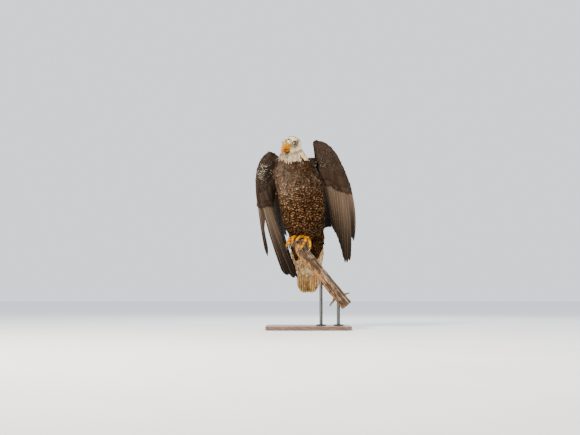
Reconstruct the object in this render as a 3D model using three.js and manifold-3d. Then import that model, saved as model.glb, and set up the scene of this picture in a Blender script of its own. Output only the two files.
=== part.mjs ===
// Bald eagle, life size, perched upright on the broken end of a slanting branch with both wings
// half open and drooped, on a plain display stand.
// Millimetres, +Z up. The bird faces -Y, its left side is +X. The origin is the centre of the
// underside of the stand's base plate.
import * as THREE from 'three';
import { ConvexGeometry } from 'three/addons/geometries/ConvexGeometry.js';
import { mergeVertices } from 'three/addons/utils/BufferGeometryUtils.js';
import Module from 'manifold-3d';

const wasm = await Module();
wasm.setup();

// ---------------------------------------------------------------- driving dimensions

const PART_GAP = 0.5; // clearance left by each parting cut
const DEG = Math.PI / 180;

// Trunk: level oval sections from the vent up to the base of the neck [x, y, z, half width, half depth].
const TRUNK = [
  [-16, 30, 457, 30, 26],
  [-16, 28, 468, 72, 58],
  [-16, 18, 502, 98, 84],
  [-23, 0, 560, 109, 99],
  [-31, -25, 640, 116, 107],
  [-44, -46, 726, 122, 106],
  [-60, -58, 780, 112, 96],
  [-64, -68, 818, 92, 80],
  [-72, -78, 842, 74, 66],
];
const NECK = [
  [-66, -70, 815, 91, 78],
  [-75, -84, 850, 72, 64],
  [-80, -96, 880, 58, 55],
  [-83, -102, 902, 48, 46],
];

// Head, in its own frame: forward is -Y. Sections [forward, height, half width, half height].
const HEAD_AT = [-83, -107, 914];
const HEAD_TURN = -31 * DEG; // towards the bird's right
const HEAD_NOD = 12 * DEG; // bill below the horizontal
const SKULL = [
  [-56, -9, 12, 14],
  [-47, -7, 29, 29],
  [-25, -3, 43, 39],
  [0, -2, 46, 40.5],
  [20, -2.5, 40, 37.5],
  [35, -5, 31, 31],
  [47, -9, 20.5, 21],
];
const SKULL_ROUND = 0.84; // the crown and cheeks are a little flat
const BROW = { side: 26, forward: 24, height: 14, size: [8, 19, 5], splay: 16 * DEG };
const UPPER_BILL = [
  [38, -9, 18, 18],
  [52, -7.5, 16, 18],
  [66, -8.5, 13, 16],
  [79, -15, 10, 12.5],
  [88, -26, 7, 8.5],
  [90.5, -37, 4, 5],
  [88.5, -46, 0.8, 1.2],
];
const LOWER_BILL = [
  [22, -27, 14, 5],
  [45, -29, 14, 7.5],
  [62, -30, 10.5, 7],
  [75, -29.5, 6.5, 4.5],
  [82, -28.5, 2, 2],
];
const GAPE = { from: [12, 50, -19], to: [27, 19, -21], radius: 3.4 };
const CERE_LENGTH = 58; // how far forward of the head's centre the cere ends
const EYE = { side: 28.5, forward: 24, height: 3, radius: 11 };

// Wings. Feathers are numbered from the elbow outwards; a place between two whole numbers lies
// across one feather. Roots follow the bones, and tips follow the free edge of the wing.
const SECONDARIES = 14;
const PRIMARIES = 10;
const FEATHERS = SECONDARIES + PRIMARIES;
const FINGER = FEATHERS - 1; // the outermost primary, which parts from the rest
const FLIGHT_THICK = 2.4;
const SHINGLE = 0.9; // how far a feather's inner edge stands above its outer edge, towards the underside
const TIP_ROUNDING = { secondary: 13, innerPrimary: 16, outerPrimary: 36 };
const TIP_AT = 0.6; // how far across a feather its tip lies
// Section of the covered part of a wing: distance from the bone (or, from the mid point on, share of
// the covert length) and the depth of flesh and feather on the under and the upper side.
const COVERT_SECTION = [
  { distance: -17, under: 2.5, upper: 1 },
  { distance: -11, under: 12, upper: 4 },
  { distance: 4, under: 17, upper: 6 },
  { distance: 40, under: 14.5, upper: 5.5 },
  { share: 0.5, under: 8.5, upper: 4.5 },
  { share: 1, under: 3, upper: 3 },
];
const WINGS = {
  left: {
    out: 1,
    shoulder: [12, -40, 832, 27],
    elbow: [90, 122, 800, 20],
    fold: [50, 12, 850, 13],
    scapular: [42, 58, 742, 27],
    forearm: [[90, 122, 800], [72, 24, 862], [37, -80, 924]],
    forearmTips: [[58, 176, 492], [94, 74, 514], [118, 32, 512]],
    hand: [[37, -80, 924], [90, -84, 908], [138, -82, 862], [179, -77, 792]],
    handTips: [[118, 32, 512], [143, 23, 470], [164, 14, 405], [187, 4, 330], [213, -6, 345]],
    bow: 22,
    coverts: [140, 200, 200, 122],
    finger: { tips: [[216, -18, 434], [233, -20, 440]], bow: 25, parts: 0.74, narrowing: 0.2 },
  },
  right: {
    out: -1,
    shoulder: [-128, -42, 812, 28],
    elbow: [-180, 118, 760, 20],
    fold: [-170, -66, 858, 16],
    scapular: [-142, 58, 704, 27],
    forearm: [[-180, 118, 760], [-186, 22, 812], [-190, -82, 868]],
    forearmTips: [[-102, 206, 478], [-112, 168, 486], [-118, 118, 486]],
    hand: [[-190, -82, 868], [-225, -84, 836], [-248, -82, 786], [-260, -78, 722]],
    handTips: [[-118, 118, 486], [-102, 106, 430], [-80, 84, 360], [-52, 52, 256], [-124, 40, 278]],
    bow: 15,
    coverts: [140, 190, 210, 116],
    finger: { tips: [[-182, 12, 366], [-213, 8, 362]], bow: 6, parts: 0.5, narrowing: 0.35 },
  },
};

// Tail: a sheet of twelve feathers under the long vent feathers. Half widths at its root and tip.
const TAIL_ROOT = [-4, 92, 470];
const TAIL_TIP = [6, 215, 184];
const TAIL_FEATHERS = 12;
const TAIL_HALF = { root: 38, tip: 58 };
const TAIL_ROUNDING = 50; // how much shorter the outermost feather is
const TAIL_NOTCH = 7;
const TAIL_DROOP = 9; // how far the outer feathers hang towards the underside
const TAIL_COVERTS = [
  [0, 62, 492, 60, 30],
  [0, 78, 440, 80, 34],
  [0, 104, 388, 83, 27],
  [0, 126, 345, 77, 18],
  [4, 144, 312, 60, 12],
  [6, 158, 282, 46, 7],
];

// Legs: feathered thighs hang behind the perch, and a short bare shank runs forward to each foot.
const LEGS = {
  left: {
    thigh: [
      [30, 10, 528, 50, 50],
      [40, 46, 458, 45, 38],
      [42, 62, 408, 33, 27],
      [42, 66, 362, 12, 10],
    ],
    shank: [
      [24, 54, 434],
      [4, 26, 452],
      [-15, -2, 459],
    ],
    pad: [-16, -12, 458],
    toes: {
      inner: [[-20, -16, 458], [-34, -44, 460], [-50, -58, 451], [-58, -61, 437]],
      middle: [[-15, -20, 458], [-10, -52, 448], [-22, -64, 424], [-40, -63, 394]],
      outer: [[-10, -14, 457], [3, -40, 448], [9, -51, 421], [8, -51, 398]],
      hind: [[-18, 0, 457], [-18, 24, 449], [-16, 30, 430]],
    },
    claws: {
      inner: [[-57, -60, 440], [-65, -63, 429], [-70, -60, 413]],
      middle: [[-38, -63, 397], [-50, -62, 385], [-57, -56, 374]],
      outer: [[8, -51, 401], [3, -56, 387], [-9, -59, 380]],
      hind: [[-16, 30, 433], [-18, 32, 416], [-25, 27, 401]],
    },
  },
  right: {
    thigh: [
      [-64, 20, 528, 46, 46],
      [-62, 58, 458, 34, 28],
      [-60, 66, 408, 26, 20],
      [-58, 68, 362, 10, 9],
    ],
    shank: [
      [-76, 50, 436],
      [-68, 24, 452],
      [-61, -2, 459],
    ],
    pad: [-60, -12, 458],
    toes: {
      inner: [[-61, -18, 459], [-68, -46, 458], [-77, -60, 444], [-79, -59, 426]],
      middle: [[-64, -16, 459], [-82, -36, 454], [-93, -44, 434], [-94, -42, 414]],
      outer: [[-66, -10, 458], [-88, -20, 452], [-100, -24, 434], [-107, -22, 413]],
      hind: [[-60, 0, 457], [-56, 20, 450], [-54, 26, 432]],
    },
    claws: {
      inner: [[-79, -59, 429], [-79, -58, 417], [-73, -54, 404]],
      middle: [[-94, -42, 417], [-92, -43, 405], [-83, -42, 396]],
      outer: [[-107, -22, 416], [-105, -23, 403], [-95, -24, 395]],
      hind: [[-54, 26, 435], [-51, 28, 418], [-44, 24, 404]],
    },
  },
};
const SHANK_RADIUS = 9.5;
const PAD_SIZE = [14, 17, 11];
const TOE_RADIUS = { root: 8, knuckle: 6.6, tip: 6 };
const CLAW_RADIUS = { root: 5, middle: 3.6, tip: 0.7 };

// Branch: path and radius from the broken end down to the cut end.
const BRANCH = [
  [-38, -20, 446, 35],
  [-37, -20, 424, 38],
  [-25, -20, 384, 37],
  [6, -19, 346, 33],
  [60, -17, 281, 31],
  [126, -13, 200, 31],
  [192, -10, 119, 32],
];
const KNOT = { at: [-76, -30, 426], size: [17, 20, 17] };
const TWIGS = [
  { from: [172, -12, 170], to: [205, -20, 181], radius: 4.5 },
  { from: [130, -14, 150], to: [108, -20, 116], radius: 5 },
];

// Stand.
const BASE = { width: 420, depth: 350, thick: 20, corner: 46, chamfer: 3 };
const ROD_RADIUS = 8;
const FLANGE = { radius: 25, height: 6 };
const RODS = { upper: [64, -17], lower: [150, -12] };

// ---------------------------------------------------------------- materials

function material(colour, roughness, metalness = 0) {
  return new THREE.MeshStandardMaterial({ color: colour, roughness, metalness });
}
const BROWN = material(0x3f2a1c, 0.85);
const DARK_BROWN = material(0x2c211b, 0.85);
const QUILL_GREY = material(0x4a4039, 0.8);
const WHITE = material(0xf0e6d4, 0.85);
const YELLOW = material(0xf0a818, 0.45);
const EYE_YELLOW = material(0xe8c860, 0.1);
const CLAW_BLACK = material(0x17171a, 0.3);
const BARK = material(0x7d6549, 0.9);
const WALNUT = material(0x4a2f1e, 0.5);
const BLACK_STEEL = material(0x1c1c1e, 0.4, 0.8);

// ---------------------------------------------------------------- shapes

const vector = ([x, y, z]) => new THREE.Vector3(x, y, z);
const mix = THREE.MathUtils.lerp;

// A closed tube through oval sections. Each station is { at, wide, deep }; the sections lie across
// the path, or level where level is true. side is the direction of a section's width, and a round
// below 1 squares the sections off.
function loft(stations, { sides, rings, level = false, side = [1, 0, 0], round = 1 }) {
  const path = new THREE.CatmullRomCurve3(stations.map((s) => s.at));
  const sizes = new THREE.CatmullRomCurve3(
    stations.map((s) => new THREE.Vector3(s.wide, s.deep, 0)),
    false,
    'catmullrom',
    0.5,
  );
  const bulge = (v) => Math.sign(v) * Math.abs(v) ** round;
  const position = [];
  const index = [];
  for (let r = 0; r <= rings; r++) {
    const t = r / rings;
    const along = level ? new THREE.Vector3(0, 0, 1) : path.getTangent(t);
    const across = vector(side).addScaledVector(along, -vector(side).dot(along)).normalize();
    const up = new THREE.Vector3().crossVectors(along, across);
    const centre = path.getPoint(t);
    const size = sizes.getPoint(t);
    for (let s = 0; s < sides; s++) {
      const a = (s / sides) * 2 * Math.PI;
      const p = centre
        .clone()
        .addScaledVector(across, bulge(Math.cos(a)) * Math.max(size.x, 0.5))
        .addScaledVector(up, bulge(Math.sin(a)) * Math.max(size.y, 0.5));
      position.push(p.x, p.y, p.z);
    }
  }
  for (let r = 0; r < rings; r++) {
    for (let s = 0; s < sides; s++) {
      const a = r * sides + s;
      const b = r * sides + ((s + 1) % sides);
      index.push(a, b, b + sides, a, b + sides, a + sides);
    }
  }
  for (let s = 1; s < sides - 1; s++) {
    const top = rings * sides;
    index.push(0, s + 1, s, top, top + s, top + s + 1);
  }
  const geometry = new THREE.BufferGeometry();
  geometry.setAttribute('position', new THREE.Float32BufferAttribute(position, 3));
  geometry.setIndex(index);
  return geometry;
}

// Moves every face of a closed geometry outwards by a distance: each vertex goes where the moved
// planes of its faces meet, as nearly as they do.
function swell(geometry, distance) {
  const { position } = geometry.attributes;
  const corners = geometry.index.array;
  const planes = Array.from({ length: position.count }, () => ({
    sum: new THREE.Vector3(),
    square: new Array(9).fill(0),
  }));
  const at = (i) => new THREE.Vector3().fromBufferAttribute(position, corners[i]);
  for (let i = 0; i < corners.length; i += 3) {
    const [a, b, c] = [at(i), at(i + 1), at(i + 2)];
    const n = b.clone().sub(a).cross(c.sub(a)).normalize();
    const parts = n.toArray();
    for (const corner of corners.slice(i, i + 3)) {
      planes[corner].sum.add(n);
      planes[corner].square.forEach((_, k, all) => {
        all[k] += parts[Math.floor(k / 3)] * parts[k % 3];
      });
    }
  }
  planes.forEach(({ sum, square }, i) => {
    const steady = 0.02 * (square[0] + square[4] + square[8]);
    const matrix = new THREE.Matrix3().set(...square.map((v, k) => (k % 4 === 0 ? v + steady : v)));
    const move = sum.applyMatrix3(matrix.invert()).multiplyScalar(distance);
    position.setXYZ(i, position.getX(i) + move.x, position.getY(i) + move.y, position.getZ(i) + move.z);
  });
}

// A geometry, placed by a matrix and swollen by grow, as a solid that can be joined and cut.
function solid(geometry, grow = 0, matrix = new THREE.Matrix4()) {
  const bare = geometry.clone().applyMatrix4(matrix);
  bare.deleteAttribute('normal');
  bare.deleteAttribute('uv');
  const merged = mergeVertices(bare, 1e-4);
  if (grow > 0) {
    swell(merged, grow);
  }
  return new wasm.Manifold(
    new wasm.Mesh({
      numProp: 3,
      vertProperties: merged.attributes.position.array,
      triVerts: new Uint32Array(merged.index.array),
    }),
  );
}

const join = (solids) => solids.reduce((whole, next) => whole.add(next));
const cut = (body, ...tools) => tools.reduce((left, tool) => left.subtract(tool), body);

// The main body of a solid, without the slivers that a cut may leave.
function main(body) {
  return body.decompose().reduce((a, b) => (a.volume() > b.volume() ? a : b));
}

const root = new THREE.Group();

// A nested group at a place, turned by nod (about X) and then by turn (about Z).
function frame(at, nod = 0, turn = 0) {
  const group = new THREE.Group();
  group.position.set(...at);
  group.rotation.set(nod, 0, turn, 'ZXY');
  root.add(group);
  root.updateMatrixWorld(true);
  return group;
}

// Puts a solid, given in the part's frame, into a group as a named mesh.
function piece(name, body, finish, group) {
  const mesh = main(body).getMesh();
  const stride = mesh.numProp;
  const position = new Float32Array(mesh.numVert * 3);
  for (let i = 0; i < mesh.numVert; i++) {
    position.set(mesh.vertProperties.subarray(i * stride, i * stride + 3), i * 3);
  }
  const geometry = new THREE.BufferGeometry();
  geometry.setAttribute('position', new THREE.BufferAttribute(position, 3));
  geometry.setIndex(new THREE.BufferAttribute(mesh.triVerts, 1));
  geometry.applyMatrix4(group.matrixWorld.clone().invert());
  geometry.computeVertexNormals();
  const made = new THREE.Mesh(geometry, finish);
  made.name = name;
  group.add(made);
}

const ellipsoid = (at, size, sides = 12, grow = 0) =>
  solid(
    new THREE.SphereGeometry(1, sides, Math.round(sides * 0.7)),
    grow,
    new THREE.Matrix4().compose(vector(at), new THREE.Quaternion(), vector(size)),
  );

const oval = ([x, y, z, wide, deep]) => ({ at: new THREE.Vector3(x, y, z), wide, deep });

// ---------------------------------------------------------------- body

const levelLoft = (sections, sides, rings, grow) =>
  solid(loft(sections.map(oval), { sides, rings, level: true }), grow);

const trunkShape = (grow = 0) => levelLoft(TRUNK, 18, 11, grow);
const neckShape = (grow = 0) => levelLoft(NECK, 14, 4, grow);
const thighShape = (leg, grow = 0) => levelLoft([...leg.thigh].reverse(), 10, 5, grow);
const covertShape = (grow = 0) => levelLoft([...TAIL_COVERTS].reverse(), 14, 6, grow);

function buildTrunk() {
  const body = frame([TRUNK[4][0], TRUNK[4][1], TRUNK[4][2]]);
  piece('trunk', trunkShape(), BROWN, body);
}

// ---------------------------------------------------------------- head

const headSection = ([forward, height, wide, deep]) => ({
  at: new THREE.Vector3(0, -forward, height),
  wide,
  deep,
});

function headLoft(stations, group, sides, rings, grow, round = 1) {
  return solid(loft(stations.map(headSection), { sides, rings, round }), grow, group.matrixWorld);
}

function buildHead() {
  const head = frame(HEAD_AT, HEAD_NOD, HEAD_TURN);
  const placed = (x, y, z) => new THREE.Vector3(x, y, z).applyMatrix4(head.matrixWorld);
  const eyeball = (s, grow) => {
    const at = placed(s * EYE.side, -EYE.forward, EYE.height);
    return ellipsoid(at.toArray(), Array(3).fill(EYE.radius), 10, grow);
  };
  const skullOf = (grow) => headLoft(SKULL, head, 14, 9, grow, SKULL_ROUND);
  const upperOf = (grow) => headLoft(UPPER_BILL, head, 8, 9, grow);
  const lowerOf = (grow) => headLoft(LOWER_BILL, head, 8, 4, grow);
  const brow = (s) => {
    const at = new THREE.Vector3(s * BROW.side, -BROW.forward, BROW.height);
    const turn = new THREE.Quaternion().setFromEuler(new THREE.Euler(0, 0, s * BROW.splay));
    const place = new THREE.Matrix4().compose(at, turn, vector(BROW.size));
    return solid(new THREE.SphereGeometry(1, 8, 6), 0, head.matrixWorld.clone().multiply(place));
  };
  const gape = (s, grow) => {
    const [from, to] = [GAPE.from, GAPE.to].map(([x, f, z]) => new THREE.Vector3(s * x, -f, z));
    const stations = [0, 0.5, 1].map((t) => ({
      at: from.clone().lerp(to, t),
      wide: GAPE.radius,
      deep: GAPE.radius,
    }));
    return solid(loft(stations, { sides: 6, rings: 1 }), grow, head.matrixWorld);
  };
  const upper = upperOf(0);
  const upperCut = upperOf(PART_GAP);
  const lowerCut = lowerOf(PART_GAP);
  const sockets = [eyeball(1, PART_GAP), eyeball(-1, PART_GAP)];
  const flanges = [gape(1, PART_GAP), gape(-1, PART_GAP)];
  const skull = join([skullOf(0), brow(1), brow(-1)]);
  piece('head', cut(skull, upperCut, lowerCut, ...sockets, ...flanges), WHITE, head);

  const slab = (from, to) => {
    const place = new THREE.Matrix4().makeTranslation(0, -(from + to) / 2, 0);
    const box = new THREE.BoxGeometry(120, to - from, 160);
    return solid(box, 0, head.matrixWorld.clone().multiply(place));
  };
  const cereEnd = upper.intersect(slab(0, CERE_LENGTH - PART_GAP / 2));
  piece('cere', join([cereEnd, gape(1, 0), gape(-1, 0)]), YELLOW, head);
  piece('bill_upper', upper.intersect(slab(CERE_LENGTH + PART_GAP / 2, 160)), YELLOW, head);
  piece('bill_lower', cut(lowerOf(0), upperCut, ...flanges), YELLOW, head);
  piece('eye_left', cut(eyeball(1, 0), upperCut), EYE_YELLOW, head);
  piece('eye_right', cut(eyeball(-1, 0), upperCut), EYE_YELLOW, head);

  const hidden = [trunkShape(PART_GAP), skullOf(PART_GAP), upperCut, lowerCut, ...flanges];
  const neck = cut(neckShape(), ...hidden);
  piece('neck', neck, WHITE, frame(NECK[0].slice(0, 3)));
}

// ---------------------------------------------------------------- wings

const curve = (points) => new THREE.CatmullRomCurve3(points.map(vector));

// A closed body through rings of equal count. A ring runs out along one face and back along the other.
function ringLoft(rings, grow = 0) {
  const position = rings.flatMap((ring) => ring.flatMap((p) => p.toArray()));
  const n = rings[0].length;
  const last = (rings.length - 1) * n;
  const index = [];
  for (let r = 0; r < last; r += n) {
    for (let s = 0; s < n; s++) {
      const next = (s + 1) % n;
      index.push(r + s, r + next, r + next + n, r + s, r + next + n, r + s + n);
    }
  }
  for (let s = 0; s < n / 2 - 1; s++) {
    const [a, b, c, d] = [s, s + 1, n - 2 - s, n - 1 - s];
    index.push(a, c, b, a, d, c, last + a, last + b, last + c, last + a, last + c, last + d);
  }
  const geometry = new THREE.BufferGeometry();
  geometry.setAttribute('position', new THREE.Float32BufferAttribute(position, 3));
  geometry.setIndex(index);
  if (solid(geometry).volume() < 0) {
    geometry.setIndex(index.reverse());
  }
  return solid(geometry, grow);
}

// The line of a feather at a place across the wing: root, direction, tip length and covert length.
function wingLines(wing) {
  const bones = { inner: curve(wing.forearm), outer: curve(wing.hand) };
  const tips = { inner: curve(wing.forearmTips), outer: curve(wing.handTips) };
  const coverts = { inner: wing.coverts.slice(0, 2), outer: wing.coverts.slice(1) };
  const fingerTips = wing.finger.tips.map(vector);
  const line = (u) => {
    const part = u < SECONDARIES ? 'inner' : 'outer';
    const t = u < SECONDARIES ? u / SECONDARIES : (u - SECONDARIES) / PRIMARIES;
    const stands = u > FINGER;
    const at = bones[part].getPoint(t);
    const tip = stands
      ? fingerTips[0].clone().lerp(fingerTips[1], u - FINGER)
      : tips[part].getPoint(part === 'inner' ? t : (u - SECONDARIES) / (FINGER - SECONDARIES));
    const along = tip.sub(at);
    const stops = coverts[part];
    const stop = Math.min(Math.floor(t * (stops.length - 1)), stops.length - 2);
    return {
      at,
      length: along.length(),
      along: along.normalize(),
      bow: stands ? wing.finger.bow : part === 'inner' ? 0 : wing.bow * t,
      covert: mix(stops[stop], stops[stop + 1], t * (stops.length - 1) - stop),
    };
  };
  return (u) => {
    const here = line(u);
    const [before, after] = [line(Math.max(u - 0.9, 0)), line(Math.min(u + 0.9, FEATHERS))];
    const span = after.at.clone().sub(before.at);
    here.outward = span.addScaledVector(here.along, -span.dot(here.along)).normalize();
    here.under = new THREE.Vector3().crossVectors(here.along, here.outward).multiplyScalar(wing.out);
    here.point = (distance, height) => {
      const share = distance / here.length;
      return here.at
        .clone()
        .addScaledVector(here.along, distance)
        .addScaledVector(here.outward, here.bow * 4 * share * (1 - share))
        .addScaledVector(here.under, height);
    };
    return here;
  };
}

// The part of a wing under its coverts, with a section at each of the places across it.
function covertSlab(wing, places, grow = 0) {
  const lineAt = wingLines(wing);
  const rings = places.map((place) => {
    const here = lineAt(place);
    const rows = COVERT_SECTION.map((row) => ({ ...row, at: row.distance ?? row.share * here.covert }));
    return [
      ...rows.map((row) => here.point(row.at, row.under)),
      ...rows.reverse().map((row) => here.point(row.at, -row.upper)),
    ];
  });
  return ringLoft(rings, grow);
}

// Flight feathers between two places: shingled, with each tip rounded.
function flightSheet(wing, from, to, shares, rows, rounding) {
  const lineAt = wingLines(wing);
  const rings = [];
  for (let feather = from; feather < to; feather++) {
    for (const share of shares) {
      const here = lineAt(feather + share);
      const start = here.covert + 1.6 * PART_GAP;
      const inner = (1 - share / TIP_AT) ** 2;
      const outer = 0.6 * ((share - TIP_AT) / (1 - TIP_AT)) ** 2;
      const fall = share < TIP_AT ? inner : outer;
      const stands = feather === FINGER;
      const end = stands ? wing.finger.parts * here.length : here.length - rounding(feather) * fall;
      const lift = mix(SHINGLE, -SHINGLE, share);
      const half = FLIGHT_THICK / 2;
      const along = rows.map((row) => mix(start, end, row));
      rings.push([
        ...along.map((d) => here.point(d, lift + half)),
        ...along.reverse().map((d) => here.point(d, lift - half)),
      ]);
    }
  }
  return ringLoft(rings);
}

// The outermost primary beyond the point where it parts from the next.
function finger(wing) {
  const lineAt = wingLines(wing);
  const [inside, shaft, outside] = [0.03, 0.6, 0.97].map((share) => lineAt(FINGER + share));
  const { parts, narrowing } = wing.finger;
  const half = FLIGHT_THICK / 2;
  const rows = [-0.08, 0, 0.25, 0.6, 0.88, 1];
  const rings = rows.map((row) => {
    const t = mix(parts, 1, row);
    const taper = row < 0.9 ? 1 : 0.15;
    const spine = shaft.point(t * shaft.length, 0);
    const inner = inside.point(t * inside.length, 0);
    const outer = outside.point(t * outside.length, 0);
    const share = Math.max(row, 0);
    const across = [
      outer.clone().lerp(spine, share < 0.9 ? share * 0.3 : 0.9),
      spine,
      spine.clone().lerp(inner, taper * (1 - narrowing * Math.min(share * 2.2, 1))),
    ];
    return [
      ...across.map((p) => p.clone().addScaledVector(shaft.under, half)),
      ...across.reverse().map((p) => p.clone().addScaledVector(shaft.under, -half)),
    ];
  });
  return ringLoft(rings);
}

function ballPoints([x, y, z, radius]) {
  const ball = new THREE.IcosahedronGeometry(radius, 1).getAttribute('position');
  return Array.from({ length: ball.count }, (_, i) =>
    new THREE.Vector3().fromBufferAttribute(ball, i).add(new THREE.Vector3(x, y, z)),
  );
}

const web = (balls, grow) => solid(new ConvexGeometry(balls.flatMap(ballPoints)), grow);

// Upper arm under the shoulder feathers, the skin stretched to the wrist, and the covered forearm.
function armShape(wing, grow = 0) {
  const wrist = [...wing.forearm[2], 12];
  return join([
    web([wing.shoulder, wing.elbow, wing.fold, wing.scapular], grow),
    web([wing.elbow, wing.fold, wrist], grow),
    covertSlab(wing, [0, 2.5, 5, 8, 11, SECONDARIES - 0.02], grow),
  ]);
}

function buildWing(name, wing) {
  const group = frame(wing.shoulder.slice(0, 3));
  const body = [trunkShape(PART_GAP), neckShape(PART_GAP)];
  const armCut = armShape(wing, PART_GAP);
  piece(`wing_${name}_arm`, cut(armShape(wing), ...body), DARK_BROWN, group);
  const places = [0.02, 2, 3.5, 5, 7, 8.98, 9.02, 10].map((place) => SECONDARIES + place);
  const hand = cut(covertSlab(wing, places), armCut, ...body);
  piece(`wing_${name}_hand`, hand, DARK_BROWN, group);
  const rounding = (f) => (f < FEATHERS - 4 ? TIP_ROUNDING.innerPrimary : TIP_ROUNDING.outerPrimary);
  const shares = [0.03, TIP_AT, 0.97];
  const fan = flightSheet(wing, SECONDARIES, FEATHERS, shares, [0, 0.55, 1], rounding);
  const quills = cut(join([fan, finger(wing)]), covertSlab(wing, places, PART_GAP), ...body);
  piece(`wing_${name}_primaries`, quills, QUILL_GREY, group);
  const rounded = () => TIP_ROUNDING.secondary;
  const curtain = flightSheet(wing, 0, SECONDARIES, [0.03, 0.5, 0.97], [0, 1], rounded);
  piece(`wing_${name}_secondaries`, cut(curtain, armCut, ...body), DARK_BROWN, group);
}

// ---------------------------------------------------------------- tail

function tailSheet() {
  const base = vector(TAIL_ROOT);
  const axis = vector(TAIL_TIP).sub(base);
  const length = axis.length();
  axis.normalize();
  const across = new THREE.Vector3(1, 0, 0).addScaledVector(axis, -axis.x).normalize();
  const under = new THREE.Vector3().crossVectors(axis, across);
  const rings = [];
  for (let feather = 0; feather < TAIL_FEATHERS; feather++) {
    for (const share of [0.04, 0.5, 0.96]) {
      const side = ((feather + share) / TAIL_FEATHERS) * 2 - 1;
      const outerShare = side < 0 ? share : 1 - share;
      const notch = TAIL_NOTCH * Math.max(0, 1 - Math.abs(side) * 7);
      const scallop = 3 * Math.abs(share - 0.5);
      const reach = length - TAIL_ROUNDING * side ** 4 - notch - scallop;
      const lift = TAIL_DROOP * side * side + mix(-SHINGLE, SHINGLE, 1 - outerShare);
      const point = (t, half) =>
        base
          .clone()
          .addScaledVector(axis, t * reach)
          .addScaledVector(across, side * mix(TAIL_HALF.root, TAIL_HALF.tip, Math.min(t * 1.1, 1)))
          .addScaledVector(under, lift * Math.min(t * 2, 1) + half);
      const rows = [0.45, 1];
      const half = FLIGHT_THICK / 2;
      rings.push([
        ...rows.map((t) => point(t, half)),
        ...rows.reverse().map((t) => point(t, -half)),
      ]);
    }
  }
  return ringLoft(rings);
}

function buildTail() {
  const group = frame(TAIL_ROOT);
  const legs = Object.values(LEGS).map((leg) => thighShape(leg, PART_GAP));
  const coverts = cut(covertShape(), trunkShape(PART_GAP), ...legs);
  piece('tail_coverts', coverts, WHITE, group);
  piece('tail', cut(tailSheet(), covertShape(PART_GAP), trunkShape(PART_GAP)), WHITE, group);
}

// ---------------------------------------------------------------- branch and stand

const branchStations = BRANCH.map(([x, y, z, r]) => ({
  at: new THREE.Vector3(x, y, z),
  wide: r,
  deep: r,
}));

function branchShape(grow = 0) {
  const stem = solid(loft(branchStations, { sides: 12, rings: 9, side: [0, 1, 0] }), grow);
  const knot = ellipsoid(KNOT.at, KNOT.size, 9, grow);
  const twigs = TWIGS.map(({ from, to, radius }) => {
    const stations = [1.3, 1.05, 0.8].map((taper, i) => ({
      at: vector(from).lerp(vector(to), i / 2),
      wide: radius * taper,
      deep: radius * taper,
    }));
    return solid(loft(stations, { sides: 6, rings: 2, side: [0, 1, 0] }), grow);
  });
  return join([stem, knot, ...twigs]);
}

function buildPerchAndStand() {
  const perch = frame(BRANCH[0].slice(0, 3));
  piece('branch', branchShape(), BARK, perch);

  const plate = frame([0, 0, 0]);
  const [w, d, r] = [BASE.width / 2 - BASE.chamfer, BASE.depth / 2 - BASE.chamfer, BASE.corner];
  const outline = new THREE.Shape();
  outline.moveTo(-w + r, -d);
  outline.absarc(w - r, -d + r, r, -Math.PI / 2, 0);
  outline.absarc(w - r, d - r, r, 0, Math.PI / 2);
  outline.absarc(-w + r, d - r, r, Math.PI / 2, Math.PI);
  outline.absarc(-w + r, -d + r, r, Math.PI, Math.PI * 1.5);
  const slab = new THREE.ExtrudeGeometry(outline, {
    depth: BASE.thick - 2 * BASE.chamfer,
    bevelThickness: BASE.chamfer,
    bevelSize: BASE.chamfer,
    bevelSegments: 1,
    curveSegments: 3,
  });
  slab.translate(0, 0, BASE.chamfer);
  piece('stand_base', solid(slab), WALNUT, plate);

  for (const [name, [x, y]] of Object.entries(RODS)) {
    const rod = frame([x, y, BASE.thick + PART_GAP]);
    const height = 320;
    const profile = [
      [0, 0],
      [FLANGE.radius, 0],
      [FLANGE.radius, FLANGE.height - 2],
      [FLANGE.radius - 2, FLANGE.height],
      [ROD_RADIUS, FLANGE.height],
      [ROD_RADIUS, height],
      [0, height],
    ].map(([px, py]) => new THREE.Vector2(px, py));
    const upright = new THREE.LatheGeometry(profile, 14).rotateX(Math.PI / 2);
    const standing = cut(solid(upright, 0, rod.matrixWorld), branchShape(PART_GAP));
    const below = standing.decompose().filter((b) => b.boundingBox().min[2] < 60);
    piece(`stand_rod_${name}`, join(below), BLACK_STEEL, rod);
  }
}

// ---------------------------------------------------------------- legs

function limb(points, radii, sides, rings, grow = 0) {
  const stations = points.map((p, i) => {
    const at = (i / (points.length - 1)) * (radii.length - 1);
    const low = Math.min(Math.floor(at), radii.length - 2);
    const r = mix(radii[low], radii[low + 1], at - low);
    return { at: vector(p), wide: r, deep: r };
  });
  return solid(loft(stations, { sides, rings, side: [0.9, 0.3, 0.2] }), grow);
}

function footShape(leg, grow = 0) {
  const radii = [TOE_RADIUS.root, TOE_RADIUS.knuckle, TOE_RADIUS.tip];
  return join([
    ellipsoid(leg.pad, PAD_SIZE, 8, grow),
    ...Object.values(leg.toes).map((path) => limb(path, radii, 6, 5, grow)),
  ]);
}

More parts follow.
